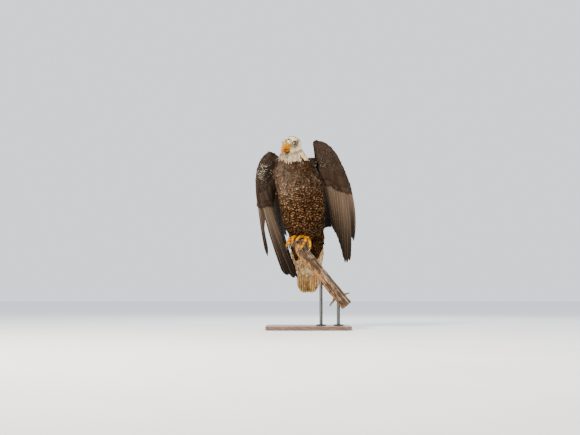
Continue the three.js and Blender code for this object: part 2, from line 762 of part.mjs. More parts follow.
function buildLegs() {
  const branch = branchShape(PART_GAP);
  const trunk = trunkShape(PART_GAP);
  const leftFoot = footShape(LEGS.left, PART_GAP);
  for (const [name, leg] of Object.entries(LEGS)) {
    const group = frame(leg.pad);
    const thigh = cut(thighShape(leg), trunk, branch);
    piece(`leg_${name}_thigh`, thigh, BROWN, group);
    const other = name === 'right' ? [leftFoot] : [];
    const foot = cut(footShape(leg), branch, trunk, thighShape(leg, PART_GAP), ...other);
    piece(`leg_${name}_foot`, foot, YELLOW, group);
    const shank = limb(leg.shank, [SHANK_RADIUS, SHANK_RADIUS], 8, 3);
    const footCut = footShape(leg, PART_GAP);
    piece(
      `leg_${name}_shank`,
      cut(shank, thighShape(leg, PART_GAP), footCut, trunk, branch, ...other),
      YELLOW,
      group,
    );
    const radii = [CLAW_RADIUS.root, CLAW_RADIUS.middle, CLAW_RADIUS.tip];
    for (const [toe, path] of Object.entries(leg.claws)) {
      const claw = cut(limb(path, radii, 5, 3), footCut, branch, ...other);
      piece(`leg_${name}_claw_${toe}`, claw, CLAW_BLACK, group);
    }
  }
}

buildTrunk();
buildHead();
for (const [name, wing] of Object.entries(WINGS)) {
  buildWing(name, wing);
}
buildTail();
buildLegs();
buildPerchAndStand();

export default root;
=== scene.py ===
import math

import bpy
import numpy as np
from mathutils import Matrix, Vector
from mathutils.bvhtree import BVHTree
from mathutils.kdtree import KDTree


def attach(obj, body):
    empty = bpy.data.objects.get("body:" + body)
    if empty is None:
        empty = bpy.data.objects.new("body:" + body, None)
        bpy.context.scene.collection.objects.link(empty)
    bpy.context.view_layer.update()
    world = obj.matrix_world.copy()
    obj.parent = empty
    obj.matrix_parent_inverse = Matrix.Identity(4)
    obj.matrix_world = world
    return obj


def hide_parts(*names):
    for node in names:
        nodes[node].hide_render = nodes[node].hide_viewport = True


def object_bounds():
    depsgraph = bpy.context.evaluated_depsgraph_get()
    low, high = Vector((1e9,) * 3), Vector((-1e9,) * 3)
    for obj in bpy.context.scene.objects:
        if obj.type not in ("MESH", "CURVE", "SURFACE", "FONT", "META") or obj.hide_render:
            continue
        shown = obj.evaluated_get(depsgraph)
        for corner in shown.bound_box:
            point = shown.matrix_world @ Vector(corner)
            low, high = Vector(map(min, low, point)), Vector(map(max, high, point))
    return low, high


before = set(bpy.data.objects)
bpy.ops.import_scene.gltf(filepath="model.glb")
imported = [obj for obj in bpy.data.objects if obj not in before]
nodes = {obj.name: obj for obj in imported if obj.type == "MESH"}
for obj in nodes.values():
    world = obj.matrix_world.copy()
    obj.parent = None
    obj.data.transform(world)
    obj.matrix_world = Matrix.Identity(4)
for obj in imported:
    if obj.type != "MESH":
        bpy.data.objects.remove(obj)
solid_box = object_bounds()
rng = np.random.default_rng(7)


# ---------------------------------------------------------------- sizes and places


def mm(*values):
    """Sizes given in millimetres, in metres."""
    return np.array(values, float) / 1000


HEAD_AT = mm(-83, -107, 914)
HEAD_TURN = math.radians(-31)
HEAD_NOD = math.radians(12)
# Sections of the bill: forward of the head's centre, height, half width, half depth.
UPPER_BILL = mm(
    (38, -9, 18, 18),
    (52, -7.5, 16, 18),
    (66, -8.5, 13, 16),
    (79, -15, 10, 12.5),
    (88, -26, 7, 8.5),
    (90.5, -37, 4, 5),
    (88.5, -46, 0.8, 1.2),
)
LOWER_BILL = mm(
    (22, -27, 14, 5),
    (45, -29, 14, 7.5),
    (62, -30, 10.5, 7),
    (75, -29.5, 6.5, 4.5),
    (82, -28.5, 2, 2),
)
CERE_SHARE, CERE_LAP = 0.3, 0.012  # how far along the bill the cere reaches, and its lap
GAPE_FROM, GAPE_TO, GAPE_RADIUS = mm(12.5, 50, -19), mm(29, 17, -20.5), 0.0040
NOSTRIL = mm(14, 51, -3)  # side, forward, height
EYE_SIDE, EYE_FORWARD, EYE_HEIGHT, EYE_RADIUS = mm(28.5, 24, 3, 11)
GAZE = np.array((0.8, 0.6, -0.02))  # side, forward, height
SET_EYE = mm(26.8, 25.2, 3.2, 9.7)  # side, forward, height and radius of the ball itself
LID_TILT = 0.25
BROW_LINE = mm(  # side, forward, height and radii of the bare ledge over an eye
    (20.0, 42.5, 2.5, 1.0, 1.0),
    (27.0, 36, 7.5, 1.6, 2.6),
    (33.2, 27.5, 10.6, 1.8, 3.2),
    (34.6, 17, 11.2, 1.6, 2.6),
    (31.5, 8, 9.5, 0.8, 1.2),
)
IRIS_ANGLE, PUPIL_ANGLE, LID_ANGLE = 0.70, 0.30, 0.72  # from the gaze, in radians
LID_SECTION = (  # past the edge of the opening in radians, and out from the ball
    (-0.05, 0.0001),
    (-0.02, 0.0009),
    (0.05, 0.0012),
    (0.17, 0.0014),
    (0.33, 0.0019),
    (0.52, 0.0026),
    (0.56, 0.0),
    (0.10, -0.0020),
)
BILL_SQUARE = 0.94  # below 1, a section's sides are fuller than round

SECONDARIES = 14
PRIMARIES = 10
FEATHERS = SECONDARIES + PRIMARIES
FINGER = FEATHERS - 1
TIP_AT = 0.6  # how far across a feather its shaft and tip lie
COVERT_SECTION = {  # distance from the bone, or share of the covert length from its middle on
    "distance": mm(-17, -11, 4, 40),
    "share": (0.5, 1.0),
    "under": mm(2.5, 12, 17, 14.5, 8.5, 3),
    "upper": mm(1, 4, 6, 5.5, 4.5, 3),
}
WINGS = {
    "left": {
        "out": 1,
        "forearm": mm((90, 122, 800), (72, 24, 862), (37, -80, 924)),
        "forearm_tips": mm((58, 176, 492), (94, 74, 514), (118, 32, 512)),
        "hand": mm((37, -80, 924), (90, -84, 908), (138, -82, 862), (179, -77, 792)),
        "hand_tips": mm(
            (118, 32, 512), (143, 23, 470), (164, 14, 405), (187, 4, 330), (213, -6, 345)
        ),
        "bow": 0.022,
        "coverts": mm(140, 200, 200, 122),
        "finger_tips": mm((216, -18, 434), (233, -20, 440)),
        "finger_bow": 0.025,
        "finger_parts": 0.74,
        "web": 0.026,
        "web_parts": (0.84, 0.97),
        "finger_narrowing": 0.2,
    },
    "right": {
        "out": -1,
        "forearm": mm((-180, 118, 760), (-186, 22, 812), (-190, -82, 868)),
        "forearm_tips": mm((-102, 206, 478), (-112, 168, 486), (-118, 118, 486)),
        "hand": mm((-190, -82, 868), (-225, -84, 836), (-248, -82, 786), (-260, -78, 722)),
        "hand_tips": mm(
            (-118, 118, 486), (-102, 106, 430), (-80, 84, 360), (-52, 52, 256), (-124, 40, 278)
        ),
        "bow": 0.015,
        "coverts": mm(140, 190, 210, 116),
        "finger_tips": mm((-182, 12, 366), (-213, 8, 362)),
        "finger_bow": 0.006,
        "finger_parts": 0.5,
        "web": 0.020,
        "web_parts": (0.46, 0.62),
        "finger_narrowing": 0.35,
    },
}

TAIL_ROOT, TAIL_TIP = mm(-4, 92, 470), mm(6, 215, 184)
TAIL_FEATHERS = 12
TAIL_COVERED = 0.38  # the share of a tail feather that lies under its coverts
TAIL_ACROSS = np.array((-0.35, 0.0, 0.25, 0.5, 0.75, 1.0, 1.35))
TAIL_HALF_ROOT, TAIL_HALF_TIP = mm(38, 58)
TAIL_ROUNDING, TAIL_NOTCH, TAIL_DROOP = mm(50, 7, 9)

TOE_RADII = mm(8, 6.6, 6)
CLAW_RADII = mm(5, 3.6, 0.5)
SHANK_RADIUS = 0.0095
PAD_SIZE = mm(14, 17, 11)
PLATE_LENGTH = 0.0056  # of the plates that ring a toe
SHANK_PLATES = 11
FOOT_SIDE = (0.9, 0.3, 0.2)
CLAW_TOES = ("inner", "middle", "outer", "hind")
LEGS = {
    "left": {
        "shank": mm((30, 60, 430), (24, 54, 434), (4, 26, 452), (-15, -2, 459)),
        "pad": mm(-16, -12, 458),
        "toes": {
            "inner": mm((-20, -16, 458), (-34, -44, 460), (-50, -58, 451), (-58, -61, 437)),
            "middle": mm((-15, -20, 458), (-10, -52, 448), (-22, -64, 424), (-40, -63, 394)),
            "outer": mm((-10, -14, 457), (3, -40, 448), (9, -51, 421), (8, -51, 398)),
            "hind": mm((-18, 0, 457), (-18, 24, 449), (-16, 30, 430)),
        },
        "claws": {
            "inner": mm((-57, -60, 440), (-65, -63, 429), (-70, -60, 413)),
            "middle": mm((-38, -63, 397), (-50, -62, 385), (-57, -56, 374)),
            "outer": mm((8, -51, 401), (3, -56, 387), (-9, -59, 380)),
            "hind": mm((-16, 30, 433), (-18, 32, 416), (-25, 27, 401)),
        },
    },
    "right": {
        "shank": mm((-78, 56, 432), (-76, 50, 436), (-68, 24, 452), (-61, -2, 459)),
        "pad": mm(-60, -12, 458),
        "toes": {
            "inner": mm((-61, -18, 459), (-68, -46, 458), (-77, -60, 444), (-79, -59, 426)),
            "middle": mm((-64, -16, 459), (-82, -36, 454), (-93, -44, 434), (-94, -42, 414)),
            "outer": mm((-66, -10, 458), (-88, -20, 452), (-100, -24, 434), (-107, -22, 413)),
            "hind": mm((-60, 0, 457), (-56, 20, 450), (-54, 26, 432)),
        },
        "claws": {
            "inner": mm((-79, -59, 429), (-79, -58, 417), (-73, -54, 404)),
            "middle": mm((-94, -42, 417), (-92, -43, 405), (-83, -42, 396)),
            "outer": mm((-107, -22, 416), (-105, -23, 403), (-95, -24, 395)),
            "hind": mm((-54, 26, 435), (-51, 28, 418), (-44, 24, 404)),
        },
    },
}

BRANCH = mm(
    (-38, -20, 446, 35),
    (-37, -20, 424, 38),
    (-25, -20, 384, 37),
    (6, -19, 346, 33),
    (60, -17, 281, 31),
    (126, -13, 200, 31),
    (192, -10, 119, 32),
)
KNOT_AT, KNOT_SIZE = mm(-76, -30, 426), mm(17, 20, 17)
TWIGS = [  # from, to and radius
    (mm(172, -12, 170), mm(205, -20, 181), 0.0045),
    (mm(130, -14, 150), mm(108, -20, 116), 0.005),
]
BARK_SIDES, BARK_RINGS = 120, 240
BARK_RADIUS, GRAIN_RADIUS = mm(33, 34)
PEELED_TURN = 4.2  # the side of the branch where the bark is gone, in radians
TOP_RINGS = (0.93, 0.84, 0.72, 0.58, 0.42, 0.26, 0.1)  # of the broken top, shares of its radius
CUT_RINGS = (0.94, 0.8, 0.62, 0.44, 0.26, 0.1)  # of the sawn end

BASE_WIDTH, BASE_DEEP, BASE_THICK, BASE_CORNER, BASE_EDGE = mm(420, 350, 20, 46, 4)
RODS = {"upper": mm(64, -17), "lower": mm(150, -12)}
ROD_RADIUS, FLANGE_RADIUS, FLANGE_HEIGHT = mm(8, 25, 6)
ROD_END = 0.012  # how far under the middle of the branch a rod ends
ROD_CLEAR = 0.0003  # between a flange and the base

# Colours, linear.
DEEP_BROWN = np.array((0.0078, 0.0034, 0.0015))
MID_BROWN = np.array((0.028, 0.0118, 0.0044))
GREY_BROWN = np.array((0.068, 0.049, 0.037))
TAN = np.array((0.440, 0.195, 0.053))
PALE_TAN = np.array((0.380, 0.240, 0.120))
# WHITE and CREAM are warmer than the feathers' own white: their own colour with the warm light
# painted in.
WHITE = np.array((0.950, 0.845, 0.640))
CREAM = np.array((0.770, 0.530, 0.240))
SHADOW_GREY = np.array((0.120, 0.100, 0.080))
# Painted warm light that turns the white coverts buff, and a brown for painted shadow among them.
WARM_LIT_BUFF = np.array((0.500, 0.255, 0.072))
VENT_SHADOW_BROWN = np.array((0.200, 0.095, 0.035))
VANE_ROOT, QUILL = (0.104, 0.073, 0.052), (0.20, 0.15, 0.10)
# The tail's under face: painted warm light with darker streaks, and a golden rim at the tips.
TAIL_WARM_LIT, TAIL_STREAK, TAIL_TIP_GOLD = (0.72, 0.43, 0.15), (0.24, 0.100, 0.025), (0.50, 0.21, 0.025)
BILL_YELLOW, BILL_ORANGE = (0.33, 0.158, 0.0), (0.24, 0.047, 0.0)
BILL_CLOUD, BILL_TIP = (0.39, 0.205, 0.0), (0.25, 0.14, 0.05)
CERE_YELLOW, CERE_DEEP = (0.40, 0.205, 0.0), (0.30, 0.128, 0.0)
GAPE_ORANGE, NOSTRIL_DARK = (0.50, 0.11, 0.0), (0.02, 0.012, 0.006)
IRIS_PALE, IRIS_DEEP, IRIS_RIM = (0.50, 0.34, 0.07), (0.34, 0.20, 0.03), (0.25, 0.15, 0.05)
PUPIL_BLACK, SOCKET_DARK = (0.004, 0.004, 0.004), (0.02, 0.015, 0.012)
LID_GREY, LID_DARK = (0.055, 0.040, 0.026), (0.016, 0.011, 0.007)
TOE_YELLOW, TOE_ORANGE, TOE_SEAM = (0.46, 0.208, 0.0), (0.16, 0.038, 0.0), (0.075, 0.022, 0.002)
CLAW_BLACK, CLAW_GREY, CLAW_ROOT = (0.010, 0.011, 0.016), (0.035, 0.034, 0.036), (0.12, 0.08, 0.04)
BARK_BROWN, BARK_GREY = (0.105, 0.066, 0.040), (0.320, 0.225, 0.148)
BARK_FURROW, BARK_CRACK = (0.030, 0.017, 0.010), (0.040, 0.024, 0.014)
WOOD_DARK, WOOD_PALE, WOOD_GREY = (0.27, 0.090, 0.014), (0.52, 0.245, 0.065), (0.20, 0.13, 0.08)
SAWN_DARK, SAWN_PALE = (0.20, 0.12, 0.065), (0.42, 0.28, 0.15)
WALNUT_DARK, WALNUT_PALE = (0.085, 0.040, 0.020), (0.150, 0.078, 0.040)
WALNUT_PORE = (0.030, 0.014, 0.008)
STEEL_DARK, STEEL_PALE = (0.030, 0.030, 0.032), (0.062, 0.062, 0.065)


# ---------------------------------------------------------------- curves and sheets


def unit(v):
    return v / np.maximum(np.linalg.norm(v, axis=-1, keepdims=True), 1e-12)


def stacked(*arrays):
    """Arrays brought to one shape and set side by side in a last axis."""
    return np.stack(np.broadcast_arrays(*arrays), axis=-1)


def smooth(low, high, x):
    """0 below low and 1 above high, with a soft step between."""
    t = np.clip((x - low) / (high - low), 0, 1)
    return t * t * (3 - 2 * t)


def spline(points, t, centripetal=True):
    """Points at shares t along a Catmull-Rom curve, with equal shares to each span."""
    points = np.asarray(points, float)
    padded = np.vstack([2 * points[0] - points[1], points, 2 * points[-1] - points[-2]])
    last = len(points) - 2
    place = np.clip(np.asarray(t, float), 0, 1) * (last + 1)
    span = np.minimum(place.astype(int), last)
    w = (place - span)[..., None]
    a, b, c, d = (padded[span + k] for k in range(4))
    if centripetal:
        gaps = [
            np.maximum(np.linalg.norm(q - p, axis=-1, keepdims=True), 1e-9) ** 0.5
            for p, q in ((a, b), (b, c), (c, d))
        ]
        start = ((b - a) / gaps[0] - (c - a) / (gaps[0] + gaps[1]) + (c - b) / gaps[1]) * gaps[1]
        end = ((c - b) / gaps[1] - (d - b) / (gaps[1] + gaps[2]) + (d - c) / gaps[2]) * gaps[1]
    else:
        start, end = (c - a) / 2, (d - b) / 2
    return (
        b
        + start * w
        + (-3 * b + 3 * c - 2 * start - end) * w**2
        + (2 * b - 2 * c + start + end) * w**3
    )


class Wing:
    """Where each feather of a wing runs. Place u counts feathers from the elbow outwards."""

    def __init__(self, numbers):
        self.__dict__.update(numbers)

    def line(self, u):
        """Root, direction, length and bow of the feathers, and the length of their coverts."""
        u = np.asarray(u, float)
        inner = u < SECONDARIES
        t = np.where(inner, u / SECONDARIES, (u - SECONDARIES) / PRIMARIES)
        to_finger = (u - SECONDARIES) / (FINGER - SECONDARIES)
        beside = (np.clip(u - FINGER, 0, 1))[..., None]
        finger_tip = self.finger_tips[0] * (1 - beside) + self.finger_tips[1] * beside
        stands = u > FINGER
        at = np.where(inner[..., None], spline(self.forearm, t), spline(self.hand, t))
        tip = np.where(
            inner[..., None], spline(self.forearm_tips, t), spline(self.hand_tips, to_finger)
        )
        tip = np.where(stands[..., None], finger_tip, tip)
        bow = np.where(stands, self.finger_bow, np.where(inner, 0, self.bow * t))
        half = SECONDARIES + PRIMARIES / 2
        covert = np.interp(u, (0, SECONDARIES, half, FEATHERS), self.coverts)
        length = np.linalg.norm(tip - at, axis=-1)
        return at, unit(tip - at), length, bow, covert

    def point(self, u, distance, height):
        """Points at a distance down the feathers and a height on their under side."""
        u, distance, height = np.broadcast_arrays(u, distance, height)
        at, along, length, bow, _ = self.line(u)
        outward, under = self.sides(u)
        share = distance / length
        return (
            at
            + along * distance[..., None]
            + outward * (bow * 4 * share * (1 - share))[..., None]
            + under * height[..., None]
        )

    def sides(self, u):
        """The outward direction along the wing and the direction of its under side."""
        along = self.line(u)[1]
        span = self.line(np.minimum(u + 0.9, FEATHERS))[0] - self.line(np.maximum(u - 0.9, 0))[0]
        outward = unit(span - along * np.sum(span * along, axis=-1, keepdims=True))
        return outward, np.cross(along, outward) * self.out

    def depth(self, u, distance, side):
        """How deep the covered part of the wing is, on its under or upper side."""
        covert = self.line(u)[4]
        deep = np.zeros_like(distance)
        stops = [np.full_like(distance, d) for d in COVERT_SECTION["distance"]]
        stops += [covert * s for s in COVERT_SECTION["share"]]
        values = COVERT_SECTION[side]
        for low, high, a, b in zip(stops, stops[1:], values, values[1:]):
            t = np.clip((distance - low) / (high - low), 0, 1)
            deep = np.where(distance >= low, a + (b - a) * t, deep)
        return deep


wings = {name: Wing(numbers) for name, numbers in WINGS.items()}
head_turn = np.array(Matrix.Rotation(HEAD_TURN, 3, "Z") @ Matrix.Rotation(HEAD_NOD, 3, "X"))


def in_head(side, forward, height):
    """A place given in the head's own frame, in the frame of the whole."""
    return stacked(side, -np.asarray(forward), height) @ head_turn.T + HEAD_AT


def from_head(points):
    """Side, forward and height of points in the head's own frame."""
    local = (points - HEAD_AT) @ head_turn
    return local[..., 0], -local[..., 1], local[..., 2]


def value_noise(points, period, seed=0):
    """Smooth noise from 0 to 1 over space."""
    q = np.asarray(points, float) / period
    cell = np.floor(q).astype(np.int64)
    f = q - cell
    f = f * f * (3 - 2 * f)
    total = np.zeros(q.shape[:-1])
    for corner in np.ndindex(2, 2, 2):
        x, y, z = (cell[..., i] + corner[i] for i in range(3))
        mixed = (x * 73856093) ^ (y * 19349663) ^ (z * 83492791) ^ (seed * 2654435761)
        mixed = (mixed ^ (mixed >> 13)) * 1274126177 & 0xFFFFFFFF
        weight = np.prod([f[..., i] if corner[i] else 1 - f[..., i] for i in range(3)], axis=0)
        total += weight * ((mixed ^ (mixed >> 16)) & 0xFFFF) / 65535
    return total


def layered_noise(points, period, seed=0, layers=4):
    """Noise from 0 to 1 in layers, each half as wide and half as strong as the last."""
    total = sum(value_noise(points, period / 2**k, seed + k) / 2**k for k in range(layers))
    return total / sum(1 / 2**k for k in range(layers))


# ---------------------------------------------------------------- meshes


KEPT_AS = {(): ("FLOAT", "value"), (3,): ("FLOAT_VECTOR", "vector"), (4,): ("FLOAT_COLOR", "color")}


def read_all(rows, field, width, kind=np.float32):
    """One field of every vertex, edge or corner of a mesh, as rows of so many numbers."""
    flat = np.empty(len(rows) * width, kind)
    rows.foreach_get(field, flat)
    return flat.reshape(-1, width)


def keep_values(mesh, values):
    """Keeps arrays at a mesh's vertices: numbers, vectors of three or colours of four."""
    for key, array in values.items():
        array = np.asarray(array, np.float32)
        kind, field = KEPT_AS[array.shape[1:]]
        mesh.attributes.new(key, kind, "POINT").data.foreach_set(field, array.ravel())


def mesh_of(name, verts, faces, uvs=None, values=None):
    """A mesh from arrays. uvs and values: name to one row a vertex."""
    mesh = bpy.data.meshes.new(name)
    mesh.from_pydata(np.asarray(verts).tolist(), [], [list(map(int, f)) for f in faces])
    corners = read_all(mesh.loops, "vertex_index", 1, np.int32)[:, 0]
    for key, pairs in (uvs or {}).items():
        layer = mesh.uv_layers.new(name=key)
        layer.data.foreach_set("uv", np.asarray(pairs, np.float32)[corners].ravel())
    keep_values(mesh, values or {})
    mesh.polygons.foreach_set("use_smooth", [True] * len(mesh.polygons))
    mesh.update()
    return mesh


def add_object(name, data):
    made = bpy.data.objects.new(name, data)
    bpy.context.scene.collection.objects.link(made)
    return made


def add_piece(name, mesh, finish, replaces=()):
    piece = add_object(name, mesh)
    mesh.materials.clear()
    mesh.materials.append(finish)
    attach(piece, "root")
    if replaces:
        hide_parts(*replaces)
    return piece


def rgba(colours):
    """Colours with a full fourth number."""
    colours = np.atleast_2d(colours)
    return np.hstack([colours, np.ones((len(colours), 1))])


def tube_faces(rings, sides):
    """Faces of a closed tube of rings, with one point at each end after the rings."""
    faces = []
    for r in range(rings - 1):
        for s in range(sides):
            a, b = r * sides + s, r * sides + (s + 1) % sides
            faces.append((a, b, b + sides, a + sides))
    first, last = rings * sides, rings * sides + 1
    top = (rings - 1) * sides
    for s in range(sides):
        n = (s + 1) % sides
        faces.append((first, n, s))
        faces.append((last, top + s, top + n))
    return faces


def loft(stations, sides, rings, side=(1, 0, 0), share=(0.0, 1.0), swell=None, square=1.0):
    """A closed tube through stations (x, y, z, half width, half depth), with rounded normals.

    swell(t, angle) scales the section. Returns verts, faces, share along, angle."""
    stations = np.asarray(stations, float)
    if stations.shape[1] == 4:
        stations = np.hstack([stations, stations[:, 3:]])
    t = np.linspace(share[0], share[1], rings)
    centre = spline(stations[:, :3], t)
    step = 1e-3
    ahead = spline(stations[:, :3], np.clip(t + step, 0, 1))
    behind = spline(stations[:, :3], np.clip(t - step, 0, 1))
    along = unit(ahead - behind)
    side = np.asarray(side, float)
    across = unit(side - along * (along @ side)[:, None])
    up = np.cross(along, across)
    size = spline(stations[:, 3:], t, centripetal=False)
    angle = np.arange(sides) / sides * 2 * math.pi
    bulge = lambda v: np.sign(v) * np.abs(v) ** square
    grown = np.ones((rings, sides)) if swell is None else swell(t[:, None], angle[None, :])
    wide = (size[:, :1] * bulge(np.cos(angle)) * grown)[..., None]
    deep = (size[:, 1:] * bulge(np.sin(angle)) * grown)[..., None]
    verts = centre[:, None] + across[:, None] * wide + up[:, None] * deep
    verts = np.vstack([verts.reshape(-1, 3), centre[0], centre[-1]])
    places = np.append(np.repeat(t, sides), [share[0], share[1]])
    angles = np.append(np.tile(angle, rings), [0, 0])
    return verts, tube_faces(rings, sides), places, angles


def outward_faces(verts, faces):
    """The faces, turned round if the closed form they bound is inside out."""
    verts = np.asarray(verts)
    total = 0.0
    for f in faces:
        for k in range(1, len(f) - 1):
            total += np.dot(verts[f[0]], np.cross(verts[f[k]], verts[f[k + 1]]))
    return faces if total > 0 else [tuple(reversed(f)) for f in faces]


class Parts:
    """Closed forms gathered into one mesh, with values kept at their vertices."""

    def __init__(self):
        self.verts, self.faces, self.values, self.count = [], [], {}, 0

    def add(self, verts, faces, **values):
        self.faces += [tuple(i + self.count for i in f) for f in faces]
        self.verts.append(np.asarray(verts))
        self.count += len(verts)
        for key, value in values.items():
            value = np.asarray(value, float)
            each = value.ndim > 0 and len(value) == len(verts)
            shape = value.shape[1:] if each else value.shape
            self.values.setdefault(key, []).append(np.broadcast_to(value, (len(verts), *shape)))
        return self

    def form(self, verts, faces, **values):
        """Adds a closed form, turned to face outwards."""
        return self.add(verts, outward_faces(verts, faces), **values)

    def all(self):
        values = {key: np.concatenate(value) for key, value in self.values.items()}
        return np.vstack(self.verts), self.faces, values

    def piece(self, name, slot, finish, replaces=()):
        verts, faces, values = self.all()
        return add_piece(name, mesh_of(name, verts, faces, values=values), finish, replaces)


# ---------------------------------------------------------------- finishes

FEATHER_GLOSS = 0.02


class Finish:
    """A node material under construction. Its methods add nodes and give their outputs."""

    def __init__(self, name, roughness=0.6, **sockets):
        self.material = bpy.data.materials.new(name)
        self.material.use_nodes = True
        self.tree = self.material.node_tree
        self.shader = self.tree.nodes["Principled BSDF"]
        self.shader.inputs["Roughness"].default_value = roughness
        for key, value in sockets.items():
            self.shader.inputs[key.replace("_", " ")].default_value = value

    def node(self, kind, *values, **settings):
        made = self.tree.nodes.new(kind)
        for key, value in settings.items():
            setattr(made, key, value)
        for socket, value in zip(made.inputs, values):
            if isinstance(value, bpy.types.NodeSocket):
                self.tree.links.new(value, socket)
            elif value is not None:
                socket.default_value = value
        return made

    def math(self, operation, a, b=None, c=None):
        return self.node("ShaderNodeMath", a, b, c, operation=operation).outputs[0]

    def place(self):
        return self.node("ShaderNodeTexCoord").outputs["Object"]

    def stretched(self, scale, place=None):
        made = self.node("ShaderNodeMapping", place or self.place())
        made.inputs["Scale"].default_value = scale
        return made.outputs[0]

    def attribute(self, name, output="Fac"):
        return self.node("ShaderNodeAttribute", attribute_name=name).outputs[output]

    def vane(self):
        """Across a feather from -1 to 1, and along it from 0 to 1."""
        both = self.node("ShaderNodeUVMap", uv_map="Vane").outputs[0]
        split = self.node("ShaderNodeSeparateXYZ", both)
        across = self.math("MULTIPLY_ADD", split.outputs[0], 2.0, -1.0)
        return across, split.outputs[1]

    def barbs(self, across, along, wide, long):
        """The waves of a vane's slanting barbs, from -1 to 1."""
        down_vane = self.math("MULTIPLY", along, -long)
        slant = self.math("MULTIPLY_ADD", self.math("ABSOLUTE", across), wide, down_vane)
        return self.math("SINE", slant)

    def noise(self, vector, scale, detail=3.0):
        made = self.node("ShaderNodeTexNoise")
        self.tree.links.new(vector, made.inputs["Vector"])
        made.inputs["Scale"].default_value = scale
        made.inputs["Detail"].default_value = detail
        return made.outputs["Fac"]

    def step(self, value, low, high, start=0.0, end=1.0):
        """A soft step from start to end while the value runs from low to high."""
        made = self.node("ShaderNodeMapRange", value, interpolation_type="SMOOTHSTEP")
        made.inputs["From Min"].default_value = low
        made.inputs["From Max"].default_value = high
        made.inputs["To Min"].default_value = start
        made.inputs["To Max"].default_value = end
        return made.outputs[0]

    def mix(self, amount, a, b, blend="MIX"):
        made = self.node("ShaderNodeMix", data_type="RGBA", blend_type=blend)
        sockets = (made.inputs["Factor"], made.inputs[6], made.inputs[7])
        for socket, value in zip(sockets, (amount, a, b)):
            if isinstance(value, bpy.types.NodeSocket):
                self.tree.links.new(value, socket)
            elif np.ndim(value) == 0:
                socket.default_value = value
            else:
                socket.default_value = (*value[:3], 1)
        return made.outputs[2]

    def dim(self, colour, amount):
        """A colour multiplied by a number."""
        grey = self.node("ShaderNodeCombineXYZ", amount, amount, amount).outputs[0]
        return self.mix(1.0, colour, grey, "MULTIPLY")

    def paint(self, colour):
        self.tree.links.new(colour, self.shader.inputs["Base Color"])
        return self

    def rough(self, value):
        self.tree.links.new(value, self.shader.inputs["Roughness"])
        return self

    def relief(self, height, distance=0.001, strength=0.5):
        bump = self.node("ShaderNodeBump")
        bump.inputs["Strength"].default_value = strength
        bump.inputs["Distance"].default_value = distance
        self.tree.links.new(height, bump.inputs["Height"])
        self.tree.links.new(bump.outputs[0], self.shader.inputs["Normal"])
        return self


def feather_finish(name, rim, shaft, barbs=0.16):
    """Vanes in their own shade, with a rim of another, a dark shaft and fine barbs."""
    f = Finish(name, 0.8, Specular_IOR_Level=FEATHER_GLOSS)
    across, along = f.vane()
    reach = f.math("MULTIPLY", across, across)
    tip = f.step(along, 0.40, 1.0)
    edge = f.math("MAXIMUM", f.math("MULTIPLY", reach, 0.92), tip)
    grain = f.noise(f.place(), 240.0)
    edge = f.math("ADD", edge, f.math("MULTIPLY_ADD", grain, 0.9, -0.45))
    colour = f.mix(f.step(edge, *rim), f.attribute("shade", "Color"), f.attribute("edge", "Color"))
    middle = f.step(f.math("ABSOLUTE", across), 0.05, 0.14, shaft, 0.0)
    colour = f.mix(middle, colour, DEEP_BROWN)
    wave = f.barbs(across, along, 26.0, 90.0)
    colour = f.dim(colour, f.math("MULTIPLY_ADD", wave, barbs / 2, 1.0 - barbs / 2))
    return f.paint(colour).relief(wave, 0.0003, 0.4).material


# ---------------------------------------------------------------- skin

FLESH = (
    "trunk neck head tail_coverts wing_left_arm wing_left_hand wing_right_arm wing_right_hand "
    "leg_left_thigh leg_right_thigh"
).split()
COAT_DEPTH = {  # how deep the skin lies under the outline
    "trunk": 0.0055,
    "neck": 0.0045,
    "head": 0.0020,
    "tail_coverts": 0.0040,
    "wing": 0.0020,
    "leg": 0.0045,
}
JOIN = 0.0006  # how far each solid grows to reach its neighbours
VOXEL = 0.0033
OFF_WING = 0.012  # past this from the wing's sheet, the flesh is shoulder


def kind_of(node):
    """The kind of feathers that a solid carries."""
    return node if node in COAT_DEPTH else node.split("_")[0]


def merged(node, grow=0.0):
    """Vertices and triangles of a solid, with doubled corners merged, moved out by grow."""
    mesh = nodes[node].data
    mesh.calc_loop_triangles()
    corners = np.round(read_all(mesh.vertices, "co", 3), 6)
    spots, back = np.unique(corners, axis=0, return_inverse=True)
    tri = back.ravel()[read_all(mesh.loop_triangles, "vertices", 3, np.int32)]
    tri = tri[(tri[:, 0] != tri[:, 1]) & (tri[:, 1] != tri[:, 2]) & (tri[:, 0] != tri[:, 2])]
    a, b, c = (spots[tri[:, k]] for k in range(3))
    flat = unit(np.cross(b - a, c - a))
    normal = np.zeros_like(spots)
    for k in range(3):
        np.add.at(normal, tri[:, k], flat)
    return spots + unit(normal) * grow, tri


def blurred(values, pairs, rounds, amount=0.5):
    """Values at vertices, blended with their neighbours'."""
    count = np.bincount(pairs.ravel(), minlength=len(values)).astype(float)
    count = np.maximum(count, 1).reshape(-1, *[1] * (values.ndim - 1))
    for _ in range(rounds):
        total = np.zeros_like(values)
        np.add.at(total, pairs[:, 0], values[pairs[:, 1]])
        np.add.at(total, pairs[:, 1], values[pairs[:, 0]])
        values = values * (1 - amount) + total / count * amount
    return values


def evaluated_mesh(holder):
    """The mesh that an object's modifiers make. The object itself is removed."""
    bpy.context.view_layer.update()
    evaluated = holder.evaluated_get(bpy.context.evaluated_depsgraph_get())
    mesh = bpy.data.meshes.new_from_object(evaluated)
    holder.modifiers.clear()
    bpy.data.objects.remove(holder)
    return mesh


def make_skin():
    """One closed skin through all the flesh, a coat's depth under its outline."""
    parts = Parts()
    for node in FLESH:
        parts.add(*merged(node, JOIN))
    verts, faces, _ = parts.all()
    rough = add_object("flesh", mesh_of("flesh", verts, faces))
    remesh = rough.modifiers.new("one_skin", "REMESH")
    remesh.mode = "VOXEL"
    remesh.voxel_size = VOXEL
    remesh.use_smooth_shade = True
    mesh = evaluated_mesh(rough)
    mesh.name = "skin"
    return mesh


